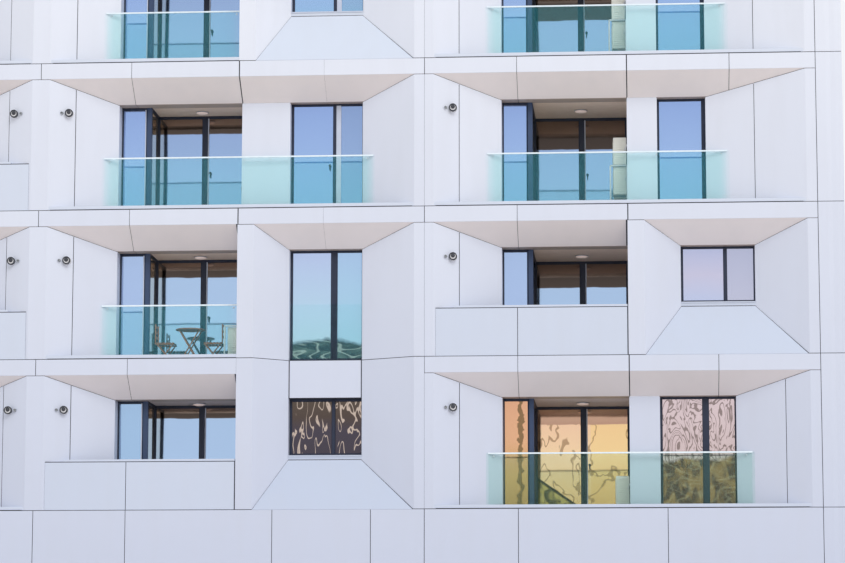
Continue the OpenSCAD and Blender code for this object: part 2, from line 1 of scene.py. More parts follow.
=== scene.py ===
import math
import bmesh
import bpy
import numpy as np
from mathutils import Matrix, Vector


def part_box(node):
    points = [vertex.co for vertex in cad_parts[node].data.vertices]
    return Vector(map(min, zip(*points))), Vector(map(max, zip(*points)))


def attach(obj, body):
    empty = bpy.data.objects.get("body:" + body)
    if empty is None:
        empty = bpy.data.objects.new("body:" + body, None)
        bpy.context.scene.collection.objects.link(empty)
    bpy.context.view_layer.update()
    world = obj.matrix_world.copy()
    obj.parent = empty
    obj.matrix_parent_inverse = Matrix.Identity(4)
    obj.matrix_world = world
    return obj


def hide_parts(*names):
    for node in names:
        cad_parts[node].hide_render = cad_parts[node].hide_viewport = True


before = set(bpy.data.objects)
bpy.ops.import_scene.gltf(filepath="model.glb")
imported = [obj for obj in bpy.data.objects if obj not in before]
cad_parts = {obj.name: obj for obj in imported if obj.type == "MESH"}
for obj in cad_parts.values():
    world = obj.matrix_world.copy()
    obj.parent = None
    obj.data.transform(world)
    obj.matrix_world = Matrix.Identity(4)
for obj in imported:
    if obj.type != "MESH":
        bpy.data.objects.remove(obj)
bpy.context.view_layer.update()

chance = np.random.default_rng(7)

# Sizes of the folded front in metres. x runs from a party line outwards, y from the front plane to the rear.
front = dict(bay=8.0, storey=3.1, ground=4.65, storeys=4, depth=12.0, party=0.53, recess=0.56, wall=0.4,
             head=2.315, rise=0.455, ribLoggia=0.18, ribWindow=0.21, loggia=1.55, loggiaWidth=2.605,
             pier=0.325, sillSlope=1.05, sillEdge=0.085, setBack=0.2, corner=0.64, cornerIn=0.07, post=0.12,
             parapet=0.9)
loggiaRight = front["loggia"] + front["loggiaWidth"]
cornerRight = front["loggia"] + front["corner"]
wallBack = front["recess"] + front["wall"]
frameY = front["recess"] + front["setBack"]
cornerY = wallBack - front["cornerIn"]
soffit = front["head"] + front["rise"]
sillTop = front["sillSlope"] + front["sillEdge"]
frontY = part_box("party_walls")[0][1]
floorLevels = [front["ground"] + n * front["storey"] for n in range(front["storeys"])]
roofZ = floorLevels[-1] + front["storey"]
blockHalf = 2 * front["bay"] + front["party"]

# Each storey of a bay from the lowest up: recess, guard, window, its distance from the loggia and its width
storeysOf = dict(
    innerRight=[("tallLow", "solid", "small", 0.995, 1.53), ("tallHigh", "glass", "french", 0.995, 1.53),
                ("wide", "glass", "french", 0.995, 1.53), ("pier", "glass", "small", 0.995, 1.53)],
    innerLeft=[("tallLow", "glass", "small", 0.995, 1.53), ("tallHigh", "solid", "french", 0.995, 1.53),
               ("pier", "solid", "small", 0.995, 1.53), ("pier", "glass", "small", 0.995, 1.53)],
    outer=[("wide", "glass", "french", 0.605, 1.56), ("pier", "solid", "small", 1.06, 1.53),
           ("wide", "glass", "narrow", 0.605, 1.015), ("wide", "glass", "narrow", 0.605, 1.015)])
# Side of the middle party line, place on that side, storeys and depth of the loggias
bays = [(1, 0, "innerRight", 1.33), (1, 1, "outer", 2.1), (-1, 0, "innerLeft", 1.33), (-1, 1, "outer", 2.1)]


def slant(start, end, y):
    # x at depth y on a slanted side, which starts at the front plane and ends at the back of the recess
    return start + (end - start) * y / front["recess"]


def onSlant(start, end, x):
    # The point of a slanted side at x
    return (x, front["recess"] * (x - start) / (end - start))


def underSoffit(y):
    # Height of the sloped soffit over the floor at depth y
    return soffit - front["rise"] * np.minimum(y, front["recess"]) / front["recess"]


class Cell:
    # One storey of one bay: what it holds, and where its slanted sides stand
    def __init__(self, side, place, row=0, kind=None, deep=0.0):
        self.side, self.place, self.row = side, place, row
        parts = storeysOf[kind][row] if kind else ("", "", "", 0, 0)
        self.recess, self.guard, self.window, gap, width = parts
        self.floor = floorLevels[row] if kind else 0.0
        self.windowX = loggiaRight + gap
        self.windowRight = self.windowX + width
        self.doorY = front["recess"] + deep
        self.loggiaSide = (front["ribLoggia"], front["loggia"])
        self.windowSide = (front["bay"] - front["ribWindow"], self.windowRight)

    def balconyLeft(self, y):
        return slant(*self.loggiaSide, y)

    def balconyRight(self, y):
        return slant(*self.windowSide, y) if self.recess == "wide" else loggiaRight

    def pier(self, y):
        return slant(loggiaRight + front["pier"], self.windowX, y)

    def world(self, points):
        p = np.array(points, float)
        p[..., 0] = self.side * (self.place * front["bay"] + p[..., 0])
        p[..., 1] += frontY
        p[..., 2] += self.floor
        return p


cells = [Cell(side, place, row, *rest) for side, place, *rest in bays for row in range(front["storeys"])]
halves = [Cell(side, place) for side, place, *rest in bays]
whole = Cell(1, 0)


class Heap:
    # Points and faces of one piece, gathered surface by surface, each with a tone and places on its sheet
    def __init__(self):
        self.points, self.faces, self.tones, self.places, self.count = [], [], [], [], 0

    def add(self, points, faces, tone, place=None):
        points = points.reshape(-1, 3)
        self.points.append(points)
        self.tones.append(np.full(len(points), tone, float))
        self.places.append(np.zeros((len(points), 2)) if place is None else place)
        self.faces += [face for part in faces for face in (part + self.count).tolist()]
        self.count += len(points)

    def shell(self, outer, inner, tone=0.5, place=None):
        # Two grids of the same size, closed along their rims
        m, n = outer.shape[:2]
        index = np.arange(m * n).reshape(m, n)
        quads = np.stack([index[:-1, :-1], index[1:, :-1], index[1:, 1:], index[:-1, 1:]], -1).reshape(-1, 4)
        rim = np.concatenate([index[:, 0], index[-1, 1:], index[-2::-1, -1], index[0, -2:0:-1]])
        turned = np.roll(rim, -1)
        sides = np.stack([rim, rim + m * n, turned + m * n, turned], -1)
        both = None if place is None else np.concatenate([place.reshape(-1, 2)] * 2)
        self.add(np.stack([outer, inner]), [quads, quads[:, ::-1] + m * n, sides], tone, both)

    def tube(self, grid, ring=False, tone=0.5):
        # Outlines carried along a path: closed round each outline, and capped, or closed into a ring
        m, n = grid.shape[:2]
        index = np.arange(m * n).reshape(m, n)
        lower = index if ring else index[:-1]
        upper = np.roll(index, -1, 0) if ring else index[1:]
        quads = np.stack([lower, upper, np.roll(upper, -1, 1), np.roll(lower, -1, 1)], -1).reshape(-1, 4)
        self.add(grid, [quads] + ([] if ring else [index[:1], index[-1:, ::-1]]), tone)


def heaps(count):
    return [Heap() for n in range(count)]


def makePiece(name, heap, finish, slot, replaced=(), smooth=None, mapped=False):
    mesh = bpy.data.meshes.new(name)
    mesh.from_pydata(np.concatenate(heap.points).tolist(), [], heap.faces)
    work = bmesh.new()
    work.from_mesh(mesh)
    bmesh.ops.recalc_face_normals(work, faces=work.faces)
    work.to_mesh(mesh)
    work.free()
    tone = mesh.attributes.new("tone", "FLOAT", "POINT")
    tone.data.foreach_set("value", np.concatenate(heap.tones))
    if mapped:
        corner = np.empty(len(mesh.loops), int)
        mesh.loops.foreach_get("vertex_index", corner)
        mesh.uv_layers.new(name="sheet").data.foreach_set("uv", np.concatenate(heap.places)[corner].ravel())
    if smooth:
        mesh.shade_smooth()
        mesh.set_sharp_from_angle(angle=math.radians(smooth))
    piece = bpy.data.objects.new(name, mesh)
    bpy.context.scene.collection.objects.link(piece)
    mesh.materials.append(finishes[finish])
    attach(piece, "root")
    if replaced:
        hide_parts(*replaced)


# Shader maths

def tint(screen):
    # A colour as it looks on a screen, from 0 to 255, turned into the light that it sends back
    return tuple(((c / 255 + 0.055) / 1.055) ** 2.4 for c in screen) + (1.0,)


class Wire:
    # A socket that does sums: an expression on wires adds the Math nodes that work it out
    def __init__(self, finish, socket):
        self.finish = finish
        self.socket = socket

    def sum(self, operation, *terms):
        return self.finish.node("ShaderNodeMath", dict(operation=operation), dict(enumerate(terms)))

    def __add__(self, other):
        return self.sum("ADD", self, other)

    __radd__ = __add__

    def __sub__(self, other):
        return self.sum("SUBTRACT", self, other)

    def __rsub__(self, other):
        return self.sum("SUBTRACT", other, self)

    def __mul__(self, other):
        return self.sum("MULTIPLY", self, other)

    __rmul__ = __mul__

    def __truediv__(self, other):
        return self.sum("DIVIDE", self, other)

    def __gt__(self, other):
        return self.sum("GREATER_THAN", self, other)

    def __lt__(self, other):
        return self.sum("LESS_THAN", self, other)

    def __abs__(self):
        return self.sum("ABSOLUTE", self)


class Finish:
    # The nodes of a material or a world in the making. Three numbers make a screen colour, four are light.
    def __init__(self, name, kind="materials"):
        self.owner = getattr(bpy.data, kind).new(name)
        self.owner.use_nodes = True
        self.tree = self.owner.node_tree
        self.shader = self.tree.nodes.get("Principled BSDF") or self.tree.nodes["Background"]

    def node(self, kind, settings=None, sockets=None, out=0):
        made = self.tree.nodes.new(kind)
        for name, value in (settings or {}).items():
            if name != "stops":
                setattr(made, name, value)
                continue
            while len(made.color_ramp.elements) < len(value):
                made.color_ramp.elements.new(0.5)
            for element, (place, colour) in zip(made.color_ramp.elements, value):
                element.position = place
                element.color = tint(colour)
        for name, value in (sockets or {}).items():
            self.plug(made.inputs[name], value)
        return Wire(self, made.outputs[out])

    def plug(self, socket, value):
        if isinstance(value, Wire):
            self.tree.links.new(value.socket, socket)
        else:
            socket.default_value = tint(value) if socket.type == "RGBA" and len(value) == 3 else value

    def surface(self, **values):
        for name, value in values.items():
            self.plug(self.shader.inputs[name.replace("_", " ")], value)
        return self.owner

    def show(self, output, share, first, second):
        mixed = self.node("ShaderNodeMixShader", None, {0: share, 1: first, 2: second})
        self.plug(self.tree.nodes[output].inputs["Surface"], mixed)

    def mix(self, factor, first, second):
        return self.node("ShaderNodeMix", dict(data_type="RGBA"), {0: factor, 6: first, 7: second}, 2)

    def axes(self, vector=None):
        parts = self.node("ShaderNodeSeparateXYZ", None,
                          {0: vector or self.node("ShaderNodeTexCoord", out=3)})
        return [Wire(self, socket) for socket in parts.socket.node.outputs]

    def noise(self, scale, detail=2.0, stretch=(1.0, 1.0, 1.0), bend=0.0):
        where = self.node("ShaderNodeTexCoord", out=3)
        vector = self.node("ShaderNodeMapping", None, {"Vector": where, "Scale": stretch})
        return self.node("ShaderNodeTexNoise", None, {"Vector": vector, "Scale": scale, "Detail": detail,
                                                      "Distortion": bend})

    def ramp(self, factor, stops):
        return self.node("ShaderNodeValToRGB", dict(stops=stops), {0: factor})

    def step(self, value, low, high):
        # From 0 at low to 1 at high, whichever of the two is larger
        return self.node("ShaderNodeMapRange", None, {"Value": value, "From Min": low, "From Max": high})

    def own(self, name):
        return self.node("ShaderNodeAttribute", dict(attribute_name=name), out=2)

    def sheet(self):
        return self.axes(self.node("ShaderNodeUVMap", dict(uv_map="sheet")))[:2]

    def bump(self, height, strength, distance):
        return self.node("ShaderNodeBump", None,
                         {"Height": height, "Strength": strength, "Distance": distance})


claddingValues = dict(lowZ=3.0, highZ=15.0, rough=0.38, dust=(194, 196, 202), dusty=0.16)
# Light, dark and low colour of each kind of panel, the low one painted shade towards the ground
claddings = dict(
    cladding=("coated_panels", (232, 236, 246), (222, 227, 240), (198, 205, 224)),
    # parapet and sill: darker copies of the same white panels, painted shade
    parapet=("coated_parapet_panels", (218, 225, 238), (210, 218, 233), (198, 207, 226)),
    sill=("coated_sill_panels", (217, 225, 238), (208, 217, 233), (186, 196, 217)),
    # soffit: its warm tint is painted light bounced up from the ground; lintel: its brown is painted shade in
    # the recess
    soffit=("coated_soffit_panels", (246, 238, 236), (238, 230, 229), (224, 219, 224)),
    lintel=("coated_lintel_panels", (190, 172, 158), (180, 162, 150), (170, 156, 150)))


def claddingFinish(name, light, dark, low):
    # Coated panels: each a little lighter or darker, with painted shade that darkens them towards the ground,
    # and faint streaks of dust
    f = Finish(name)
    v = claddingValues
    clean = f.mix(0.25 + 0.5 * f.own("tone"), dark, light)
    # Painted shade: from highZ down to lowZ the colour turns to the darker low colour
    shade = f.mix(f.step(f.axes()[2], v["lowZ"], v["highZ"]), low, clean)
    cloud = f.noise(0.5, 3.0)
    streaks = f.noise(3.0, 4.0, (1.0, 1.0, 0.12))
    dusty = f.step(streaks * 0.6 + cloud * 0.4, 0.45, 0.8) * v["dusty"]
    relief = f.noise(900.0) * 0.04 + f.noise(0.9, 1.0)
    return f.surface(Base_Color=f.mix(dusty, shade, v["dust"]), Roughness=v["rough"] + 0.12 * cloud,
                     Normal=f.bump(relief, 0.25, 0.004))


# Light and dark colour, size of the mottling, and another colour below a height
plasters = dict(
    plaster=("white_plaster", (236, 238, 246), (226, 228, 238), 6.0),
    # ceiling: its warm tint is painted bounce light, and a greyer colour replaces it below 7.8 m
    ceiling=("ceiling_plaster", (250, 228, 213), (242, 220, 204), 6.0, (222, 211, 210), 7.8),
    concrete=("cast_concrete", (176, 174, 172), (156, 154, 152), 3.0),
    paving=("stone_paving", (216, 212, 206), (196, 192, 188), 9.0),
    gravel=("roof_gravel_stones", (178, 172, 164), (120, 116, 112), 30.0))


def plasterFinish(name, light, dark, scale, low=None, lowZ=0.0):
    f = Finish(name)
    cloud = f.noise(scale, 5.0)
    shade = f.mix(f.step(cloud, 0.3, 0.75), light, dark)
    # Below lowZ the low colour takes over; on the ceilings it takes the painted warm light out of the lowest
    # loggias
    if low:
        shade = f.mix(f.step(f.axes()[2], lowZ + 0.1, lowZ), shade, low)
    return f.surface(Base_Color=shade, Roughness=0.75 + 0.15 * cloud,
                     Normal=f.bump(f.noise(240.0, 3.0), 0.3, 0.002))


# Light and dark colour, share of bare metal, and roughness
metals = dict(
    frame=("anthracite_coating", (38, 48, 72), (28, 36, 56), 0.2, 0.4),
    post=("post_coating", (58, 78, 112), (48, 64, 94), 0.2, 0.4),
    bead=("glazing_beads", (206, 214, 230), (188, 196, 214), 0.1, 0.4),
    trim=("aluminium_trim", (206, 208, 214), (184, 186, 194), 0.7, 0.35),
    rail=("polished_rail", (240, 250, 255), (228, 242, 252), 0.0, 0.2),
    zinc=("zinc_bracket", (168, 172, 176), (146, 150, 156), 0.6, 0.4),
    housing=("housing_enamel", (255, 253, 244), (248, 246, 238), 0.0, 0.4),
    darkPlastic=("dark_plastic", (62, 66, 74), (48, 50, 58), 0.0, 0.5),
    whitePlastic=("white_plastic", (236, 236, 238), (222, 222, 226), 0.0, 0.35))


def metalFinish(name, light, dark, metallic, rough):
    # Coated or bare metal with brushed variation and slightly duller patches
    f = Finish(name)
    patch = f.noise(5.0, 3.0)
    brushed = f.noise(60.0, 2.0, (1.0, 1.0, 8.0))
    return f.surface(Base_Color=f.mix(patch, dark, light), Metallic=metallic, Roughness=rough + 0.15 * patch,
                     Normal=f.bump(brushed, 0.08, 0.0005))


def backingFinish(name, edge=None, behind=True):
    # Dark membrane behind the joints, and plaster past a depth, where nothing is clad
    f = Finish(name)
    grain = f.noise(30.0, 3.0)
    relief = f.bump(grain, 0.2, 0.002)
    dark = f.mix(grain, (52, 54, 64), (70, 72, 84))
    if edge is None:
        return f.surface(Base_Color=dark, Roughness=0.8 + 0.1 * grain, Normal=relief)
    y = f.axes()[1]
    shade = f.mix(y > edge if behind else y < edge, dark, plasters["plaster"][1])
    return f.surface(Base_Color=shade, Roughness=0.7 + 0.15 * grain, Normal=relief)


timberValues = dict(stops=[(0.3, (136, 76, 46)), (0.55, (172, 104, 66)), (0.75, (194, 126, 84))],
                    pore=(70, 48, 34))


def timberFinish():
    # Oiled slats: grain along the longest run, darker in the pores
    f = Finish("oiled_timber")
    grain = f.noise(14.0, 6.0, (1.0, 6.0, 6.0), 0.6)
    pores = f.noise(160.0, 2.0, (0.2, 1.0, 1.0))
    colour = f.ramp(grain, timberValues["stops"])
    return f.surface(Base_Color=f.mix(f.step(pores, 0.55, 0.8) * 0.5, colour, timberValues["pore"]),
                     Roughness=0.5 + 0.2 * grain, Normal=f.bump(grain + pores * 0.4, 0.3, 0.002))


def lightFinish():
    f = Finish("light_diffuser")
    cloud = f.noise(20.0, 1.0)
    shade = f.mix(cloud, (228, 208, 200), (216, 196, 190))
    return f.surface(Base_Color=shade, Roughness=0.3 + 0.1 * cloud, Emission_Color=shade,
                     Emission_Strength=0.32)


# Share and colours of the painted reflections of sky and houses, how the sheets' ends fade, and the light
# that passes them
guardLook = dict(sky=((0.12, 0.80, 1.0, 1.0), (0.15, 0.84, 1.0, 1.0)), endShare=0.2, fade=0.2,
                 houses=((0.20, 0.42, 0.30, 1.0), (0.22, 0.46, 0.34, 1.0)),
                 tinted=(0.056, (0.948, 1.0, 0.985, 1.0)), clear=(0.012, (0.985, 1.0, 0.998, 1.0)))


def guardFinish(name, share, through):
    # The tone tells the sheets with a painted reflection of the open sky from those with one of houses, up to
    # their ends
    f = Finish(name)
    v = guardLook
    f.owner.surface_render_method = "BLENDED"
    cloud = f.noise(1.5)
    sky = f.own("tone")
    full = 1 - (1 - f.step(f.sheet()[0], 0.0, v["fade"])) * (1 - v["endShare"]) * sky
    # Painted reflection: teal for the sky, or green for the houses, varied by clouds
    colour = f.mix(sky, f.mix(cloud, *v["houses"]), f.mix(cloud, *v["sky"]))
    bare = f.node("ShaderNodeBsdfTransparent")
    seen = f.node("ShaderNodeBsdfTransparent", None, {"Color": through})
    glossy = Wire(f, f.shader.outputs[0])
    f.show("Material Output", full, bare, f.node("ShaderNodeMixShader", None, {0: share, 1: seen, 2: glossy}))
    return f.surface(Base_Color=colour, Roughness=0.04 + 0.03 * cloud, IOR=1.45)


# Painted reflections of what stands across the street in each kind of pane. Stops run up a leaf, aside holds
# those of the leaf past the split, and zones hold heights over the ground between which another colour takes
# over.
paneLooks = dict(
    paneSky=dict(name="pane_sky", stops=[(0.0, (156, 194, 230)), (0.5, (160, 188, 232)),
                                         (1.0, (150, 176, 226))],
                 aside=[(0.0, (148, 186, 218)), (0.5, (152, 178, 218)), (1.0, (142, 166, 210))],
                 zones=[(10.8, 10.4, (176, 198, 234)), (7.9, 7.2, (168, 198, 230))]),
    paneDoor=dict(name="pane_sky_door",
                  stops=[(0.0, (156, 192, 224)), (0.5, (160, 188, 226)), (1.0, (154, 178, 220))],
                  # eaves: painted reflection of the loggia ceiling at the top of the pane
                  eaves=[(0.0, (84, 73, 67)), (0.38, (76, 66, 60)), (0.5, (156, 137, 125)),
                         (1.0, (152, 133, 121))],
                  zones=[(11.2, 9.6, (180, 206, 238))]),
    paneReturn=dict(name="pane_side", stops=[(0.0, (190, 196, 194)), (0.5, (226, 214, 190)),
                                             (1.0, (236, 220, 190))],
                    trunk=dict(at=0.20, wide=0.04, lumps=0.02, share=0.7, colour=(80, 82, 90))),
    panePale=dict(name="pane_pale", stops=[(0.0, (196, 206, 234)), (0.5, (206, 204, 226)),
                                           (1.0, (190, 196, 226))],
                  aside=[(0.0, (198, 200, 220)), (1.0, (188, 192, 216))]),
    paneWarm=dict(name="pane_warm", split=1.2,
                  stops=[(0.0, (226, 182, 124)), (0.3, (248, 206, 150)), (0.6, (254, 220, 176)),
                         (1.0, (252, 206, 174))],
                  aside=[(0.0, (220, 176, 110)), (0.3, (244, 198, 132)), (0.6, (255, 220, 160)),
                         (1.0, (255, 212, 156))],
                  curls=dict(scale=2.2, detail=2.0, stretch=(1.3, 1.0, 0.8), bend=0.3, count=0.9, wide=0.022,
                             share=0.6, colour=(132, 98, 60)),
                  roof=dict(fall=0.30, top=0.36, edge=(64, 54, 44), colour=(186, 164, 100),
                            patch=(92, 84, 60)),
                  eaves=[(0.0, (196, 156, 132)), (0.5, (206, 168, 142)), (1.0, (250, 214, 180))]),
    paneTree=dict(name="pane_tree",
                  stops=[(0.0, (190, 152, 96)), (0.3, (214, 172, 112)), (0.6, (232, 180, 140)),
                         (1.0, (232, 176, 140))],
                  trunk=dict(at=0.36, wide=0.055, lumps=0.26, share=0.8, colour=(112, 92, 58))),
    panePink=dict(name="pane_pink", stops=[(0.0, (206, 184, 178)), (1.0, (226, 206, 208))],
                  curls=dict(scale=1.7, detail=2.5, stretch=(1.6, 1.0, 0.8), bend=1.0, count=12.0, wide=0.19,
                             share=0.7, colour=(104, 88, 80)),
                  low=dict(top=0.44, scale=4.0, stretch=(1.3, 1.0, 0.6), dark=(96, 74, 64),
                           light=(158, 126, 86), line=(196, 180, 150), pale=0.3)),
    paneDark=dict(name="pane_dark",
                  stops=[(0.0, (78, 72, 80)), (0.45, (80, 74, 84)), (0.7, (90, 78, 72)), (1.0, (98, 86, 76))],
                  curls=dict(scale=2.4, detail=1.0, stretch=(2.6, 1.0, 0.9), bend=0.5, count=3.6, wide=0.10,
                             share=0.85, colour=(216, 196, 180))),
    paneTall=dict(name="pane_tall", stops=[(0.0, (178, 216, 226)), (0.5, (188, 216, 236)),
                                           (1.0, (190, 205, 238))],
                  aside=[(0.0, (160, 208, 222)), (0.6, (174, 210, 234)), (1.0, (176, 204, 236))],
                  low=dict(top=0.17, scale=3.0, stretch=(0.35, 1.0, 1.2), dark=(58, 84, 90),
                           light=(92, 120, 118), line=(176, 200, 192), pale=0.55)))


def paneFinish(name, stops, aside=(), split=0.93, zones=(), curls=None, roof=None, low=None, trunk=None,
               eaves=()):
    # Coated glass with painted reflections of what stands across the street: colours by height, which the
    # glass curls
    f = Finish(name)
    across, up = f.sheet()
    drift = f.noise(2.2)
    level = up + (drift - 0.5) * 0.12 + f.own("tone") * 0.1 - 0.05
    colour = f.ramp(level, stops)
    if aside:
        colour = f.mix(f.step(across, split - 0.01, split), colour, f.ramp(level, aside))
    for high, foot, shade in zones:
        colour = f.mix(f.step(f.axes()[2], high, foot), colour, shade)
    if curls:
        # Lines at equal heights of a noise field, as a map draws hills
        field = f.noise(*[curls[key] for key in ("scale", "detail", "stretch", "bend")]) * curls["count"]
        near = abs(field.sum("FRACT", field) - 0.5)
        colour = f.mix(f.step(near, curls["wide"], curls["wide"] * 0.5) * curls["share"], colour,
                       curls["colour"])
    if roof:
        slope = up + across * roof["fall"]
        colour = f.mix(f.step(abs(slope - roof["top"]), 0.022, 0.014), colour, roof["edge"])
        patch = f.step(f.noise(5.0, 3.0, (1.0, 1.0, 0.6), 1.0), 0.45, 0.6)
        under = f.step(slope, roof["top"], roof["top"] - 0.02)
        colour = f.mix(under, colour, f.mix(patch, roof["colour"], roof["patch"]))
    if low:
        patch = f.step(f.noise(low["scale"], 4.0, low["stretch"], 1.5), 0.42, 0.6)
        under = f.step(up + (f.noise(1.3, 3.0) - 0.5) * 0.25, low["top"] + 0.02, low["top"] - 0.02)
        rings = f.noise(1.2, 2.0, (0.5, 1.0, 1.5)) * 12.0
        pale = f.step(abs(rings.sum("FRACT", rings) - 0.5), 0.14, 0.06) * low["pale"]
        colour = f.mix(under, colour, f.mix(pale, f.mix(patch, low["dark"], low["light"]), low["line"]))
    if trunk:
        lumps = (f.noise(5.0, 3.0, (1.0, 1.0, 1.4)) - 0.5) * trunk["lumps"]
        inside = f.step(abs(across - trunk["at"] + lumps), trunk["wide"], trunk["wide"] * 0.7)
        colour = f.mix(inside * trunk["share"], colour, trunk["colour"])
    if eaves:
        # Painted reflection of the loggia ceiling: the pane's own tone holds the height at which it starts,
        # and a low one is painted darker
        edge = f.own("tone") + (drift - 0.5) * 0.02
        shade = f.ramp((up - edge) / (1 - edge), eaves)
        shade = f.mix(f.step(edge, 0.79, 0.70) * 0.3, shade, (44, 38, 38))
        colour = f.mix(f.step(up, edge - 0.004, edge + 0.004), colour, shade)
    waves = f.noise(1.6)
    return f.surface(Base_Color=colour, Metallic=0.9, Roughness=0.04 + 0.03 * waves,
                     Normal=f.bump(waves, 0.1, 0.01))


finishes = dict(backing=backingFinish("joint_membrane"),
                frontBacking=backingFinish("front_joint_membrane", frontY + 0.036),
                rearBacking=backingFinish("rear_joint_membrane", -frontY - 0.03, False),
                timber=timberFinish(), light=lightFinish(),
                guard=guardFinish("guard_glass_tinted", *guardLook["tinted"]),
                guardClear=guardFinish("guard_glass_clear", *guardLook["clear"]))
for make, rows in ((claddingFinish, claddings), (plasterFinish, plasters), (metalFinish, metals)):
    finishes.update({key: make(*row) for key, row in rows.items()})
finishes.update({key: paneFinish(**look) for key, look in paneLooks.items()})
print("finishes made")


# Cladding

panel = dict(proud=0.008, chamfer=0.002, gap=0.012, underGap=0.020)
halfGap = panel["gap"] / 2
roofTop = roofZ + front["parapet"]


def foldedPanel(heap, cell, path, start, stop, section=False):
    # The path is pushed out by the panel's thickness, chamfered all round, and the inner face lies on it.
    # In plan the path holds x and y and the panel spans z. As a section it holds y and z, and it spans x.
    proud, c = panel["proud"], panel["chamfer"]
    path = np.array(path, float)
    for end, beside, spot in ((0, 1, 1), (-1, -2, -1)):
        inward = path[beside] - path[end]
        path = np.insert(path, spot, path[end] + inward / np.linalg.norm(inward) * c, 0)
    along = np.diff(path, axis=0)
    along /= np.linalg.norm(along, axis=1)[:, None]
    out = np.stack([along[:, 1], -along[:, 0]], 1)
    first = np.concatenate([out[:1], out])
    second = np.concatenate([out, out[-1:]])
    mitre = (first + second) / (1 + (first * second).sum(1))[:, None]
    low, high = (side(path[:, 1]) if callable(side) else np.full(len(path), side) for side in (start, stop))
    rows = np.stack([low, low + c, high - c, high], 1)
    depth = np.full(rows.shape, proud)
    depth[[0, -1]] -= c
    depth[:, [0, -1]] = proud - c
    outer = path[:, None] + mitre[:, None] * depth[..., None]
    inner = np.repeat(path[:, None], 4, 1)
    order = [2, 0, 1] if section else [0, 1, 2]
    spread = lambda face: cell.world(np.concatenate([face, rows[..., None]], -1)[..., order])
    heap.shell(spread(outer), spread(inner), chance.uniform())


def flatPanel(heap, cell, corners, thick=panel["proud"], gap=panel["gap"]):
    # Rings of the four corners: on the wall, at the chamfer's foot and at the face
    chamfer = panel["chamfer"]
    q = np.array(corners, float)
    ahead = np.roll(q, -1, 0) - q
    behind = np.roll(q, 1, 0) - q
    inward = ahead / np.linalg.norm(ahead, axis=1)[:, None] + behind / np.linalg.norm(behind, axis=1)[:, None]
    normal = np.cross(q[1] - q[0], q[3] - q[0])
    normal /= np.linalg.norm(normal)
    base = q + inward * gap / 2
    rings = np.stack([base, base + normal * (thick - chamfer), base + inward * chamfer + normal * thick])
    heap.tube(cell.world(rings), tone=chance.uniform())


ribValues = dict(joint=0.70, outerPanel=0.98, partyGap=0.3, spandrelIn=0.03)


def claddingPanels():
    heap = Heap()
    v, bay, recess, rib = ribValues, front["bay"], front["recess"], front["ribLoggia"]
    level = front["storey"] - panel["gap"]
    under = lambda y: underSoffit(y) - panel["underGap"]
    for cell in cells:
        fold = lambda path, top=under: foldedPanel(heap, cell, path, 0, top)
        left, right = cell.windowX, cell.windowRight
        before, after = (onSlant(*cell.loggiaSide, v["joint"] + side) for side in (-halfGap, halfGap))
        if cell.place:
            fold([(halfGap * v["partyGap"], 0), (rib, 0), before])
        elif cell.side > 0:
            fold([(-before[0], before[1]), (-rib, 0), (rib, 0), before])
        fold([after, (front["loggia"], recess), (front["loggia"], cornerY)])
        top = level if cell.recess == "tallLow" else under
        edge = [(right, frameY), (right, recess)]
        ribFront = [(cell.windowSide[0], 0), (bay - halfGap * (1.0 if cell.place else v["partyGap"]), 0)]
        if cell.recess == "wide" and cell.place:
            split = right + v["outerPanel"]
            before, after = (onSlant(*cell.windowSide, split + side) for side in (-halfGap, halfGap))
            fold(edge + [before])
            fold([after] + ribFront)
        else:
            fold(edge + ribFront, top)
        wide = [(loggiaRight, recess)] if cell.recess == "wide" else [(loggiaRight, 0), (cell.pier(0), 0)]
        fold([(loggiaRight, wallBack)] + wide + [(left, recess), (left, frameY)], top)
        if cell.recess == "tallLow":
            ends = [(left + v["spandrelIn"], recess), (right - v["spandrelIn"], recess)]
            foldedPanel(heap, cell, ends, front["head"] + halfGap, level)
    return heap


bandValues = dict(first=1.9, inner=5.92, outer={0: 5.96, 2: 6.25, 3: 6.25}, wide=0.012, narrow=0.009,
                  mid=0.022, faint=0.003, back=0.002, shade=0.042)


def bandPanels():
    # The front, the sloped soffit and the flat lintel of each band are cut at the same joints of given widths
    bands, soffits, lintels = heaps(3)
    v, head = bandValues, front["head"]
    for cell in cells:
        joints = [(0.0, v["wide"]), (v["first"], v["narrow"]), (loggiaRight, v["mid"])]
        if cell.place and cell.row in v["outer"]:
            joints.append((v["outer"][cell.row], v["wide"]))
        if not cell.place and cell.recess != "tallLow":
            joints.append((v["inner"], v["faint"]))
        if cell.recess != "tallLow":
            joints.append((front["bay"], v["wide"]))
        for (x0, wide0), (x1, wide1) in zip(joints, joints[1:]):
            x0, end = x0 + wide0 / 2, x1 - wide1 / 2
            # Beside a pier the soffit stops short, and its joint shows as a dark line
            short = x1 - v["shade"] if x1 == loggiaRight and cell.recess != "wide" else end
            face = [(0, front["storey"] - panel["gap"]), (0, soffit - panel["proud"])]
            foldedPanel(bands, cell, face, x0, end, True)
            foldedPanel(soffits, cell, [(0.001, soffit), (front["recess"], head)], x0, short, True)
            foldedPanel(lintels, cell, [(front["recess"] + v["back"], head), (wallBack, head)], x0, end, True)
    return bands, soffits, lintels


# Joints of the fascia, the doors' left side, and heights of the heads and of the frames' foot
baseValues = dict(joints=(0.0, 1.9, 4.905, 6.91, 8.0), door=5.4, head=3.0, foot=0.15)


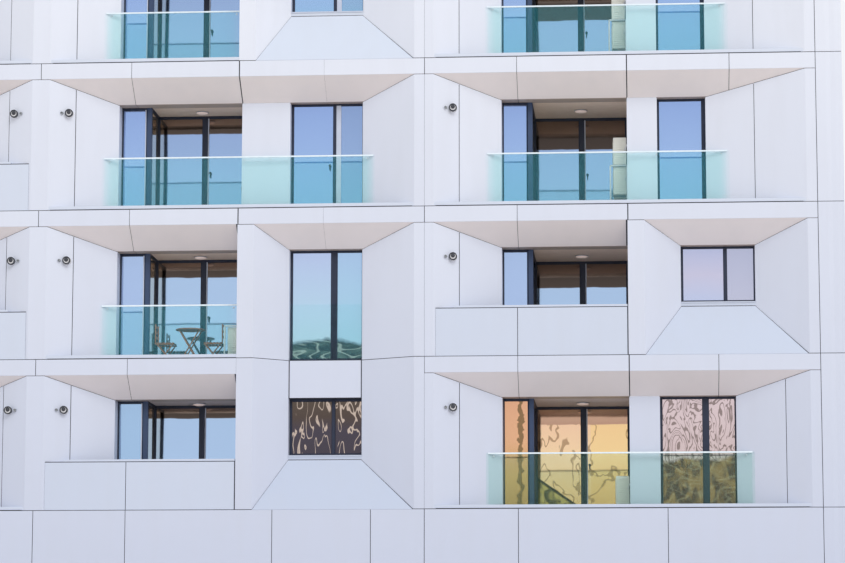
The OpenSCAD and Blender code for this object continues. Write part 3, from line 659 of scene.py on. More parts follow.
def basePanels():
    heap = Heap()
    v, head, deep, bay = baseValues, baseValues["head"], front["setBack"], front["bay"]
    first, second, third = v["joints"][1:4]
    for cell in halves:
        joints = [x for x in v["joints"] if x != third or not cell.place]
        for x0, x1 in zip(joints, joints[1:]):
            face = [(0, front["ground"] - panel["gap"]), (0, head), (deep, head)]
            foldedPanel(heap, cell, face, x0 + halfGap, x1 - halfGap, True)
        for path in ([(halfGap, 0), (first, 0), (first, deep)],
                     [(second, deep), (second, 0), (v["door"], 0), (v["door"], deep)],
                     [(third, deep), (third, 0), (bay - halfGap, 0)]):
            foldedPanel(heap, cell, path, 0.0, head - halfGap)
        foldedPanel(heap, cell, [(halfGap, 0), (bay - halfGap, 0)], roofZ + halfGap, roofTop)
    return heap


endValues = dict(crease=(0.21, 0.30, 0.40), creaseDepth=0.006, wrap=0.6, columns=4)


def endPanels():
    # The strips at the ends of the front wrap round the corners, and large panels follow on the party walls
    heap = Heap()
    v = endValues
    levels = [0.0] + floorLevels + [roofZ, roofTop]
    ys = np.linspace(v["wrap"], front["depth"], v["columns"] + 1)
    x0, x1 = front["bay"], front["bay"] + front["party"]
    strip = list(zip([x0 + x for x in (halfGap, *v["crease"])] + [x1, x1],
                     (0, 0, v["creaseDepth"], 0, 0, v["wrap"])))
    columns = [[(x1, y0 + panel["gap"]), (x1, y1 - 0.001)] for y0, y1 in zip(ys, ys[1:])]
    for cell in halves:
        if cell.place:
            for low, high in zip(levels, levels[1:]):
                for path in [strip] + columns:
                    foldedPanel(heap, cell, path, low, high - panel["gap"])
    return heap


rearValues = dict(windows=8, width=1.53, ground=0.15)
rearPitch = 4 * front["bay"] / rearValues["windows"]
rearPlaces = [n * rearPitch - 2 * front["bay"] for n in range(rearValues["windows"])]
rearLefts = [x + (rearPitch - rearValues["width"]) / 2 for x in rearPlaces]
rearFloors = [rearValues["ground"]] + floorLevels


def rearPanels():
    heap = Heap()
    y, head = front["depth"], front["head"]
    joints = [-blockHalf] + rearPlaces[1:] + [blockHalf]
    edges = [-blockHalf] + [x for left in rearLefts for x in (left, left + rearValues["width"])] + [blockHalf]
    heads = [0.0] + [z + head for z in rearFloors]
    sills = [z + sillTop for z in rearFloors] + [roofTop]
    rows = [(low, high, joints, joints[1:]) for low, high in zip(heads, sills)]
    rows += [(z + sillTop, z + head, edges[::2], edges[1::2]) for z in rearFloors]
    for low, high, starts, stops in rows:
        for x0, x1 in zip(starts, stops):
            flatPanel(heap, whole, [(x1, y, low), (x0, y, low), (x0, y, high), (x1, y, high)])
    return heap


sillValues = dict(gap=0.044, foot=0.35, right=0.5, top=0.2, edge=0.008)


def sillPanels():
    heap = Heap()
    v, y, z = sillValues, front["recess"], front["sillSlope"]
    foot = v["gap"] * v["foot"]
    for cell in cells:
        if cell.window == "small":
            left, right = cell.windowX, cell.windowRight
            footRight = slant(*cell.windowSide, -foot) - v["gap"] * v["right"]
            low = -foot * z / y
            flatPanel(heap, cell, [(cell.pier(-foot), -foot, low), (footRight, -foot, low),
                                   (right - v["gap"] * v["top"], y, z), (left, y, z)], gap=v["gap"])
            flatPanel(heap, cell, [(left, y, z), (right, y, z), (right, y, sillTop), (left, y, sillTop)],
                      gap=v["edge"])
    return heap


parapetValues = dict(top=0.972, y=0.01, left=0.024, right=0.032)


def parapetPanels():
    heap = Heap()
    v, y, joint = parapetValues, parapetValues["y"], bandValues["first"]
    for cell in cells:
        if cell.guard == "solid":
            left, right = cell.balconyLeft(y) + v["left"], cell.balconyRight(y) - v["right"]
            for x0, x1 in ((left, joint - halfGap), (joint + halfGap, right)):
                foldedPanel(heap, cell, [(x0, y), (x1, y)], 0.0, v["top"])
    return heap


claddingHeaps = [claddingPanels(), *bandPanels(), basePanels(), endPanels(), rearPanels(), sillPanels(),
                 parapetPanels()]
claddingNames = dict(cladding="cladding", band="cladding", soffit="soffit", lintel="lintel", base="cladding",
                     end="cladding", rear="cladding", sill="sill", parapet="parapet")
for (name, finish), heap in zip(claddingNames.items(), claddingHeaps):
    makePiece(name + "_panels", heap, finish, "parapet_cladding" if name == "parapet" else "cladding")
print("cladding made")


# Glazing

# Each profile holds shares of the width, from the opening inwards, and depths. The rail's are all metres.
frameProfile = np.array([(0, -0.07), (0, -0.003), (0.06, 0), (0.66, 0), (0.72, -0.003), (0.72, -0.012),
                         (0.93, -0.014), (1, -0.018), (1, -0.07)])
sashProfile = np.array([(0, -0.034), (0, -0.021), (0.25, -0.018), (0.75, -0.018), (1, -0.022), (1, -0.034)])
barProfile = np.array([(0, -0.045), (0, -0.004), (0.06, 0), (0.94, 0), (1, -0.004), (1, -0.045)])
railProfile = np.array([(-0.012, -0.035), (-0.012, -0.008), (-0.009, -0.005), (0.009, -0.005),
                        (0.012, -0.008), (0.012, -0.035)])
beadProfile = np.array([(0, -0.03), (0, -0.009), (0.09, -0.006), (0.91, -0.006), (1, -0.009), (1, -0.03)])
postProfile = np.array([(0, -0.07), (0, -0.004), (0.004, 0), (front["post"] - 0.004, 0),
                        (front["post"], -0.004), (front["post"], -0.07)])
paneValues = dict(back=0.035, thick=0.012, wave=0.0009, waves=(5, 4), cells=10, under=0.01)
# Radius, both ends and upward stretch of a handle's parts, then its places from a leaf's edge and the floor
handleValues = dict(plate=(0.026, 0.0, 0.03, 1.0), lever=(0.012, 0.022, 0.034, 5.0), drop=0.05, sides=8,
                    window=(-0.10, 1.0), inner=(0.06, 1.08), outer=(-0.18, 0.74), entrance=(-0.08, 1.15))
frames, beads, posts, handles = heaps(4)
panes = {name: Heap() for name in paneLooks}


def unit(cell, origin, along=(1, 0, 0), out=(0, -1, 0)):
    # Turns distances along, up and out of a glazed unit's lower corner into places
    def at(a, b, c):
        a, b, c = np.broadcast_arrays(a, b, c)
        return cell.world(np.array(origin, float) + a[..., None] * np.array(along, float)
                          + b[..., None] * np.array([0, 0, 1.0]) + c[..., None] * np.array(out, float))

    return at


def ring(heap, at, a0, b0, a1, b1, profile, widths):
    # A mitred frame: the profile carried round the corners, with its widths at the left, foot, right and head
    left, foot, right, head = widths
    inward = np.array([(left, foot), (-right, foot), (-right, -head), (left, -head)])
    corner = np.array([(a0, b0), (a1, b0), (a1, b1), (a0, b1)])
    spot = corner[:, None] + inward[:, None] * profile[None, :, :1]
    heap.tube(at(spot[..., 0], spot[..., 1], profile[None, :, 1]), True)


def upright(heap, at, a, b0, b1, profile, wide=1.0):
    heap.tube(at(a + profile[None, :, 0] * wide, np.array([[b0], [b1]]), profile[None, :, 1]))


def pane(heap, at, a0, b0, a1, b1, tall, tone=None):
    # A sheet with slight waves, and its place on the whole unit, from 0 to 1 upwards
    v = paneValues
    s, t = np.meshgrid(np.linspace(0, 1, v["cells"]), np.linspace(0, 1, v["cells"]), indexing="ij")
    a, b = a0 + (a1 - a0) * s, b0 + (b1 - b0) * t
    phase = chance.uniform(0, 6.28, 2)
    wave = v["wave"] * np.sin(v["waves"][0] * s + phase[0]) * np.sin(v["waves"][1] * t + phase[1])
    own = chance.uniform()
    heap.shell(at(a, b, wave - v["back"]), at(a, b, -v["back"] - v["thick"]), own if tone is None else tone,
               np.stack([a, b / tall], -1))


def handle(at, edge, kind):
    # A lever on a short neck
    v = handleValues
    a, b = edge + v[kind][0], v[kind][1]
    angle = np.linspace(0, 2 * np.pi, v["sides"] + 1)[None, :-1]
    for up, (radius, out0, out1, stretch) in ((b, v["plate"]), (b - v["drop"], v["lever"])):
        depth = np.array([[out0], [out1]])
        handles.tube(at(a + radius * np.cos(angle), up + radius * stretch * np.sin(angle), depth))


# Widths of each kind of frame at the left, foot, right and head, then of sashes, bars and strips
unitValues = dict(window=(0.050, 0.050, 0.028, 0.044), narrow=(0.045, 0.050, 0.083, 0.044),
                  corner=(0.030, 0.050, 0.020, 0.050), door=(0.070, 0.050, 0.055, 0.050),
                  side=(0.022, 0.050, 0.022, 0.040), shop=(0.060, 0.080, 0.060, 0.060), sash=0.012,
                  overlap=0.002, bar=0.060, doorBar=0.115, tallBar=0.120, strip=0.100, thinStrip=0.022,
                  cornerStrip=0.024, leaf=0.6, doorIn=0.07, cornerPast=0.02)
# Share of a door's height at which its painted reflection of the ceiling starts, by bay and storey from the
# lowest
eaveShares = (0.883, 0.838, 0.834, 0.84), (0.838, 0.757, 0.706, 0.586)
# Panes of the corner, the window and the door, where they aren't paneSky, paneSky and paneDoor
looksOf = {(1, 0, 0): ("paneSky", "paneDark", "paneDoor"), (1, 0, 1): ("paneSky", "paneTall", "paneDoor"),
           (1, 1, 0): ("paneTree", "panePink", "paneWarm"), (1, 1, 1): ("paneSky", "panePale", "paneDoor")}


def glazedUnit(at, w, h, look, widths, mullions=(), bar=unitValues["bar"], strip=0.0, rail=None, foot=0.0,
               tone=None):
    # A frame round the opening, leaves between the mullions, and a pale strip beside each mullion
    left, low, right, head = unitValues[widths]
    lap, under = unitValues["overlap"], paneValues["under"]
    ring(frames, at, 0, foot, w, h, frameProfile, unitValues[widths])
    edges = [0.0, *mullions, w]
    for m in mullions:
        upright(frames, at, m - bar / 2, foot + low / 2, h - head / 2, barProfile, bar)
    low, high = foot + low, h - head
    for a0, a1 in zip(edges, edges[1:]):
        start = a0 + (left if a0 == 0 else bar / 2)
        stop = a1 - (right if a1 == w else bar / 2)
        ring(frames, at, start - lap, low - lap, stop + lap, high + lap, sashProfile,
             [unitValues["sash"]] * 4)
        if rail:
            ends = np.array([[start], [stop]])
            frames.tube(at(ends, rail + railProfile[None, :, 0], railProfile[None, :, 1]))
        pane(panes[look], at, start, low - under, stop, high + under, h, tone)
        if strip and a0:
            upright(beads, at, start, low, high, beadProfile, strip)


def upperGlazing():
    v, head = unitValues, front["head"]
    cornerWide = front["corner"] - front["post"]
    doorX = cornerRight - v["doorIn"]
    wide = loggiaRight - doorX
    middle = (wide + v["doorIn"]) / 2
    for cell in cells:
        usual = ("paneSky", "paneSky", "paneDoor")
        corner, window, door = looksOf.get((cell.side, cell.place, cell.row), usual)
        low = sillTop if cell.window == "small" else 0.0
        w = cell.windowRight - cell.windowX
        at = unit(cell, (cell.windowX, frameY, low))
        narrow = cell.window == "narrow"
        heavy = cell.recess == "tallHigh" or window == "panePink"
        bare = cell.recess in ("tallLow", "tallHigh") or window in ("panePink", "panePale")
        glazedUnit(at, w, head - low, window, "narrow" if narrow else "window",
                   () if narrow else (w * v["leaf"],),
                   v["tallBar" if heavy else "bar"], 0.0 if bare else v["strip"])
        if cell.recess == "wide" and not narrow:
            handle(at, w * v["leaf"], "window")
        at = unit(cell, (front["loggia"], cornerY, 0))
        glazedUnit(at, cornerWide + v["cornerPast"], head, corner, "corner")
        if not cell.place:
            upright(beads, at, cornerWide - v["cornerStrip"], v["corner"][1], head - v["corner"][3],
                    beadProfile, v["cornerStrip"])
        upright(posts, at, cornerWide, 0.0, head, postProfile)
        at = unit(cell, (cornerRight, wallBack, 0), (0, 1, 0), (1, 0, 0))
        look = "paneReturn" if corner == "paneSky" else "paneWarm"
        glazedUnit(at, cell.doorY - wallBack, head, look, "side", tone=1.0)
        at = unit(cell, (doorX, cell.doorY, 0))
        glazedUnit(at, wide, head, door, "door", (middle,), v["doorBar"], v["thinStrip"],
                   tone=eaveShares[cell.place][cell.row])
        handle(at, middle + v["doorBar"] / 2, "inner")
        handle(at, wide, "outer")


def lowerGlazing():
    v, head, leaf = baseValues, front["head"], unitValues["leaf"]
    window, door = v["joints"][2] - v["joints"][1], v["joints"][3] - v["door"]
    for cell in halves:
        at = unit(cell, (v["joints"][1], front["setBack"], 0))
        glazedUnit(at, window, v["head"], "paneSky", "shop", (window / 3, window * 2 / 3), rail=head,
                   foot=v["foot"])
        at = unit(cell, (v["door"], front["setBack"], 0))
        middle = door * (0.5 if cell.place else leaf)
        glazedUnit(at, door, v["head"], "paneSky", "shop", (middle,), rail=head, foot=v["foot"])
        if not cell.place:
            handle(at, middle, "entrance")
    width, y = rearValues["width"], front["depth"] - front["setBack"]
    for x in rearLefts:
        for z in rearFloors:
            at = unit(whole, (x + width, y, z + sillTop), (-1, 0, 0), (0, 1, 0))
            glazedUnit(at, width, head - sillTop, "paneSky", "window", (width * leaf,))


upperGlazing()
lowerGlazing()
makePiece("glazing_frames", frames, "frame", "window_frame",
          ("window_frames", "corner_frames", "return_frames", "loggia_door_frames", "base_window_frames",
           "entrance_doors", "rear_frames"))
makePiece("corner_posts", posts, "post", "window_frame")
makePiece("glazing_beads", beads, "bead", "window_frame")
makePiece("door_handles", handles, "darkPlastic", "trim", smooth=40)
glassNodes = ("window_glass", "corner_glass", "return_glass", "loggia_door_glass", "base_window_glass",
              "entrance_glass", "rear_glass")
for name, heap in panes.items():
    makePiece("panes_" + name[4:].lower(), heap, name, "window_pane", glassNodes if name == "paneSky" else (),
              smooth=30, mapped=True)
print("glazing made")


# Guards, copings and floors

def chamfered(y0, z0, y1, z1, c):
    # A rectangle with its corners cut off
    return [(y0, z0 + c), (y0 + c, z0), (y1 - c, z0), (y1, z0 + c),
            (y1, z1 - c), (y1 - c, z1), (y0 + c, z1), (y0, z1 - c)]


def along(heap, cell, outline, x0, x1):
    # An outline of depths and heights carried along the front, where an end may follow a slanted wall
    y, z = np.array(outline, float).T
    ends = [np.broadcast_to(end(y) if callable(end) else end, y.shape) for end in (x0, x1)]
    heap.tube(cell.world(np.stack([np.stack([x, y, z], -1) for x in ends])))


def circle(axis, count):
    # Unit vectors all round an axis
    axis = np.array(axis, float)
    side = np.cross(axis, (0, 0, 1.0)) if abs(axis[2]) < 0.9 else np.array([1.0, 0, 0])
    angle = np.linspace(0, 2 * np.pi, count + 1)[:-1, None]
    return np.cos(angle) * side + np.sin(angle) * np.cross(axis, side)


def turned(heap, cell, centre, axis, profile, count=32):
    # Radii and heights turned round an axis: centre + radius (cos t, sin t) + height along the axis
    radius, height = np.array(profile, float).T[..., None, None]
    heap.tube(cell.world(np.array(centre) + radius * circle(axis, count) + height * np.array(axis)))


guardValues = dict(y=0.42, thick=0.02, foot=0.03, top=1.145, windowTop=1.185, inset=0.012, cap=0.030,
                   edge=0.004, clampIn=0.12, clampPast=0.60, clampDown=0.055, shoeBack=0.46, shoeDeep=0.06,
                   shoeHigh=0.09, shoeGap=0.002, shoeIn=0.01, shoeEdge=0.003, steps=24)


def guardSheet(heap, cell, leftOf, rightOf, y, foot, top, tone=1.0, fades=True):
    # Its ends may follow slanted walls. Its place holds the distance from the nearer end, and the height.
    share, z = np.meshgrid(np.linspace(0, 1, guardValues["steps"]), [foot, top], indexing="ij")
    run = lambda depth: leftOf(depth) + (rightOf(depth) - leftOf(depth)) * share
    spot = lambda depth: cell.world(np.stack([run(depth), np.full(z.shape, depth), z], -1))
    reach = np.minimum(run(y) - leftOf(y), rightOf(y) - run(y)) if fades else np.ones(z.shape)
    heap.shell(spot(y), spot(y + guardValues["thick"]), tone, np.stack([reach, z], -1))


def guards():
    glass, clear, shoes, caps, clamps = heaps(5)
    g = guardValues
    thick, high, lip = g["thick"], g["shoeHigh"], g["shoeEdge"]
    top, cap, e = g["top"], g["cap"] / 2, g["edge"]
    for cell in cells:
        if cell.recess == "tallHigh":
            guardSheet(clear, cell, lambda y: cell.windowX + g["inset"],
                       lambda y: cell.windowRight - g["inset"],
                       frameY - thick, 0.0, g["windowTop"], fades=False)
        if cell.guard != "glass":
            continue
        y0, y1, gap = g["shoeBack"] - g["shoeDeep"], g["shoeBack"], g["shoeGap"]
        x0, x1 = cell.balconyLeft(y1) + g["shoeIn"], cell.balconyRight(y1) - g["shoeIn"]
        for a, b in ((y0, g["y"] - gap), (g["y"] + thick + gap, y1)):
            along(shoes, cell, [(a, 0.004), (a + 0.002, 0), (b, 0), (b, high - lip), (b - lip, high),
                                (a + lip, high), (a, high - lip)], x0, x1)
        leftOf = lambda y: cell.balconyLeft(y) + g["inset"]
        rightOf = lambda y: cell.balconyRight(y) - g["inset"]
        tone = 0.0 if cell.row == 0 and cell.place else 1.0
        guardSheet(glass, cell, leftOf, rightOf, g["y"], g["foot"], top, tone)
        back = g["y"] + thick
        x0, x1, y = leftOf(back), rightOf(back), g["y"] + thick / 2
        past = [loggiaRight + g["clampPast"]] * (cell.recess == "wide")
        for x in [x0 + g["clampIn"], x1 - g["clampIn"]] + past:
            turned(clamps, cell, (x, back, top - g["clampDown"]), (0, -1, 0),
                   [(0.006, -0.006), (0.018, -0.004), (0.018, 0.001)], 20)
        outline = [(y - cap, top - cap), (y + cap, top - cap), (y + cap, top + cap - e),
                   (y + cap - e, top + cap), (y - cap + e, top + cap), (y - cap, top + cap - e)]
        along(caps, cell, outline, x0, x1)
    return glass, clear, shoes, caps, clamps


glass, clear, shoes, caps, clamps = guards()
makePiece("guard_clamps", clamps, "trim", "trim", smooth=40)
makePiece("guard_sheets", glass, "guard", "guard_pane", ("guard_glass", "juliet_glass"), mapped=True)
makePiece("window_guard_sheets", clear, "guardClear", "guard_pane", mapped=True)
makePiece("guard_channels", shoes, "trim", "trim", ("guard_shoes",))
makePiece("guard_caps", caps, "rail", "trim")

copingValues = dict(top=1.03, foot=0.987, back=0.17, fall=0.008, edge=0.003, left=0.012, right=0.024)
kerbValues = dict(foot=0.008, top=0.075, back=0.12, edge=0.003, inset=0.014)


def copings():
    # Folded sheets with a falling back on the parapets, and copings over a recessed dark seal on the kerbs,
    # whose dark colour is partly painted shadow of the gap
    sheets, kerbCaps, seals = heaps(3)
    for cell in cells:
        v = copingValues if cell.guard == "solid" else kerbValues
        e, foot, back = v["edge"], v["foot"], v["back"]
        outline = np.array(chamfered(0, foot, back, v["top"], e))
        if cell.guard == "solid":
            outline[4:6, 1] -= v["fall"]
            ends = (cell.balconyLeft(back) + v["left"], cell.balconyRight(0) - v["right"])
            along(sheets, cell, outline, *ends)
        else:
            ends = (lambda y: cell.balconyLeft(y) + e, lambda y: cell.balconyRight(y) - e)
            along(kerbCaps, cell, outline, *ends)
            y0, y1 = v["inset"], back - v["inset"]
            along(seals, cell, [(y0, 0), (y1, 0), (y1, foot + e), (y0, foot + e)], *ends)
    return sheets, kerbCaps, seals


sheets, kerbCaps, seals = copings()
makePiece("parapet_caps", sheets, "parapet", "trim", ("parapet_copings",))
makePiece("kerb_copings", kerbCaps, "parapet", "concrete", ("balcony_kerbs",))
# The seals' dark colour is partly painted shadow of the gap under the kerb copings
makePiece("kerb_seals", seals, "backing", "concrete")

tileValues = dict(thick=0.012, gap=0.006, kerb=0.12, parapet=0.16, across=5, outside=8)


def floorTiles():
    # Slabs laid with open joints from the kerb to the doors
    heap = Heap()
    v, recess = tileValues, front["recess"]
    for cell in cells:
        y = v["kerb"] if cell.guard == "glass" else v["parapet"]
        ys = np.linspace(wallBack, cell.doorY, 3 + cell.place)
        xs = np.linspace(cornerRight, loggiaRight, v["across"])
        tiles = [[(x0, y0), (x1, y0), (x1, y1), (x0, y1)]
                 for y0, y1 in zip(ys, ys[1:]) for x0, x1 in zip(xs, xs[1:])]
        near = np.linspace(cell.balconyLeft(y), cell.balconyRight(y), v["outside"])
        right = cell.windowRight if cell.recess == "wide" else loggiaRight
        far = np.linspace(front["loggia"], right, v["outside"])
        tiles += [[(a, y), (b, y), (c, recess), (d, recess)]
                  for a, b, c, d in zip(near, near[1:], far[1:], far)]
        for tile in tiles:
            flatPanel(heap, cell, [(*corner, 0) for corner in tile], v["thick"], v["gap"])
    return heap


makePiece("balcony_paving", floorTiles(), "paving", "concrete")

sheetValues = dict(nose=0.022, thick=0.003, rise=0.006, back=0.01, frontIn=0.009, rearIn=0.002)


def sillSheets():
    # Metal sills under the small windows and the rear windows, with a turned-down nose
    heap = Heap()
    v = sheetValues
    places = [(cell, front["recess"] - v["nose"], frameY + v["back"], sillTop, cell.windowX, cell.windowRight,
               v["frontIn"]) for cell in cells if cell.window == "small"]
    places += [(whole, front["depth"] + v["nose"], front["depth"] - front["setBack"], floor + sillTop, x,
                x + rearValues["width"], v["rearIn"]) for x in rearLefts for floor in rearFloors]
    for cell, y0, y1, z, x0, x1, inset in places:
        inside = y0 + math.copysign(v["thick"], y1 - y0)
        outline = [(y0, z - v["nose"]), (inside, z - v["nose"]), (inside, z), (y1, z + v["rise"]),
                   (y1, z + v["rise"] + v["thick"]), (y0, z + v["thick"])]
        along(heap, cell, outline, x0 + inset, x1 - inset)
    return heap


makePiece("sill_sheets", sillSheets(), "bead", "trim")

roofValues = dict(thick=0.3, out=0.03, top=0.05, fall=0.01, drip=0.02, edge=0.004, gravel=0.06, cellsX=330,
                  cellsY=114, bumps=0.018, swell=0.3, acrossX=0.8, acrossY=1.1, stones=0.6)


def roofCopings():
    # A folded coping carried round the roof, with its drip edges turned down on both sides
    heap = Heap()
    v, e, top = roofValues, roofValues["edge"], roofValues["top"]
    x, y, wide = blockHalf, front["depth"] / 2, v["thick"] + 2 * v["out"]
    back = top - v["fall"]
    profile = np.array([(0, 0), (0, top - e), (e, top), (wide - e, back), (wide, back - e), (wide, 0),
                        (wide - e, 0), (wide - v["drip"], 0.002), (v["drip"], 0.002), (e, 0)])
    inward = np.array([(1, 1), (-1, 1), (-1, -1), (1, -1)])
    spot = (inward * (-x, -y) - inward * v["out"])[:, None] + inward[:, None] * profile[None, :, :1]
    height = np.broadcast_to(roofTop + profile[None, :, 1:], (4, len(profile), 1))
    heap.tube(np.concatenate([spot, height], -1), True)
    return heap


def roofGravel():
    # Height over the slab: a layer with low swells and single stones
    v, heap = roofValues, Heap()
    x, y = blockHalf - v["thick"], front["depth"] / 2 - v["thick"]
    s, t = np.meshgrid(np.linspace(-x, x, v["cellsX"]), np.linspace(-y, y, v["cellsY"]), indexing="ij")
    swell = v["swell"] * np.sin(v["acrossX"] * s + 1) * np.sin(v["acrossY"] * t)
    swell = swell + chance.uniform(-v["stones"], v["stones"], s.shape)
    z = roofZ + v["gravel"] - v["bumps"] + v["bumps"] * swell
    heap.shell(np.stack([s, t, z], -1), np.stack([s, t, np.full(s.shape, roofZ + 0.001)], -1))
    return heap


makePiece("roof_caps", roofCopings(), "trim", "trim", ("roof_copings", "roof_end_copings"))
makePiece("gravel_layer", roofGravel(), "gravel", "gravel", ("roof_gravel",), smooth=60)
print("guards and roof made")


# Fittings

def hoop(heap, cell, centre, axis, radius, wire, count=32, sides=6):
    # A round wire bent into a circle
    angle = np.linspace(0, 2 * np.pi, sides + 1)[:-1, None]
    spot = circle(axis, count)[:, None] * (radius + wire * np.cos(angle))
    heap.tube(cell.world(np.array(centre) + spot + wire * np.sin(angle) * np.array(axis)), True)


def stick(heap, cell, start, end, wide, deep, upright=(0, 0, 1.0), edge=0.003):
    # A straight bar of chamfered section between two points
    start, end = np.array(start, float), np.array(end, float)
    run = (end - start) / np.linalg.norm(end - start)
    a = np.cross(run, upright)
    a /= np.linalg.norm(a)
    outline = np.array(chamfered(-wide / 2, -deep / 2, wide / 2, deep / 2, edge))
    section = outline[:, :1] * a + outline[:, 1:] * np.cross(run, a)
    heap.tube(cell.world(np.stack([start + section, end + section])))


def slab(heap, cell, low, high, edge):
    # A box with rounded long edges: its outline carried up, drawn in at both ends
    low, high = np.array(low, float), np.array(high, float)
    middle, reach, lip = (low + high)[:2] / 2, (high - low)[:2] / 2 - edge, edge * 0.7
    angle = np.linspace(0, np.pi / 2, 5)
    quarter = np.stack([np.cos(angle), np.sin(angle)], -1)
    rings = []
    for z, draw in ((low[2], lip), (low[2] + lip, 0.0), (high[2] - lip, 0.0), (high[2], lip)):
        corners = [((1, 1), quarter), ((-1, 1), quarter[::-1]), ((-1, -1), quarter), ((1, -1), quarter[::-1])]
        flat = np.concatenate([middle + sign * (reach + part * (edge - draw)) for sign, part in corners])
        rings.append(np.insert(flat, 2, z, 1))
    heap.tube(cell.world(np.stack(rings)))


flueValues = dict(x=0.58, z=2.06, gap=0.15, plate=0.084, intake=0.082, exhaust=0.044, rise=0.012, wall=0.020,
                  small=0.030)


def flues():
    # A collar with the intake pipe in it, the exhaust inside that, and a small pipe beside them
    dark, light, small = heaps(3)
    v = flueValues
    p, r, e, s = v["plate"], v["intake"], v["exhaust"], v["small"]
    i = r - v["wall"]
    x, z = v["x"], v["z"]
    pipes = [(light, x, z, 0.03, [(p - 0.004, 0), (p, 0.004), (p, 0.060), (p - 0.004, 0.065)], 32),
             (dark, x, z, 0, [(r - 0.004, 0.04), (r, 0.044), (r, 0.106), (r - 0.004, 0.11), (i, 0.11),
                              (i - 0.003, 0.106), (i - 0.003, 0.09)], 32),
             (light, x, z, 0, [(i - 0.004, 0.088), (i - 0.004, 0.098), (i - 0.008, 0.100)], 32),
             (dark, x, z + v["rise"], 0, [(e, 0.097), (e, 0.107), (e - 0.003, 0.109)], 24),
             (small, x - v["gap"], z, 0, [(s, -0.02), (s, 0.05), (s - 0.002, 0.052), (s - 0.010, 0.052),
                                          (s - 0.012, 0.05), (s - 0.012, 0.03)], 20)]
    for cell in cells:
        for heap, x, z, back, profile, count in pipes:
            y = onSlant(*cell.loggiaSide, x)[1] + back
            turned(heap, cell, (x, y, z), (0, -1, 0), profile, count)
    return dark, light, small


dark, light, small = flues()
makePiece("vent_spouts", small, "zinc", "flue", smooth=40)
makePiece("flue_pipes", dark, "darkPlastic", "flue", ("flue_terminals", "vent_pipes"), smooth=40)
makePiece("flue_collars", light, "whitePlastic", "flue", smooth=40)

lightValues = dict(radius=0.14, high=0.06, lens=0.9, rim=0.97, foot=0.02, sides=40)


def ceilingLights():
    # A rim and a dome, turned downwards
    rims, domes = heaps(2)
    v, r, foot = lightValues, lightValues["radius"], lightValues["foot"]
    angle = np.linspace(0, 0.48 * np.pi, 7)
    dome = r * v["lens"] * np.cos(angle), foot + (v["high"] - panel["proud"] - 0.022) * np.sin(angle)
    dome = np.insert(np.stack(dome, -1), 0, (r * v["lens"], 0.012), 0)
    rim = [(r * v["rim"], 0), (r, 0.003), (r, foot - 0.002), (r * v["rim"], foot), (r * v["lens"], foot)]
    for cell in cells:
        y = (wallBack + cell.doorY) / 2
        centre = ((cornerRight + loggiaRight) / 2, y, front["head"] - panel["proud"])
        turned(rims, cell, centre, (0, 0, -1), rim, v["sides"])
        turned(domes, cell, centre, (0, 0, -1), dome, v["sides"])
    return rims, domes


rims, domes = ceilingLights()
makePiece("light_rims", rims, "trim", "light", ("ceiling_lights",), smooth=40)
makePiece("light_domes", domes, "light", "light", smooth=60)

# The middle of the floor between the guard and the doors is where units and furniture stand
freeY = guardValues["shoeBack"] + 0.02
acValues = dict(wide=0.78, deep=0.29, high=0.58, gap=0.025, foot=0.15, stack=0.39, between=0.045, lid=0.012,
                edge=0.02, fan=0.4, grille=0.41, collar=0.02, wire=0.003, hoops=9, hoopShares=(0.16, 0.98),
                hoop=0.002, spokes=12, louvres=11, louvreShares=(0.12, 0.88), louvreWide=0.014,
                louvreDeep=0.012, louvreLeft=0.04, louvreRight=0.03)
# Flat bars round the lowest unit, a hose in front of each unit and two insulated pipes behind it
bracketValues = dict(bar=0.030, left=0.045, right=0.015, over=0.02, out=0.05, foot=0.04)
pipeValues = dict(hose=0.022, hoseIn=0.04, hoseOut=0.03, hoseFoot=0.30, hoseTop=0.42, hoseEnd=0.01, pipe=0.03,
                  pipeIn=0.06, pipeOut=0.02, rises=(0.12, 0.165), edge=0.008)


def acPlaces(cell):
    # Heights of the units that stand on the balcony
    v = acValues
    if cell.window == "narrow":
        return [v["stack"], v["stack"] + v["high"] + v["between"]]
    single = cell.recess == "wide" and cell.place or cell.recess == "tallHigh" and cell.guard == "glass"
    return [v["foot"]] if single else []


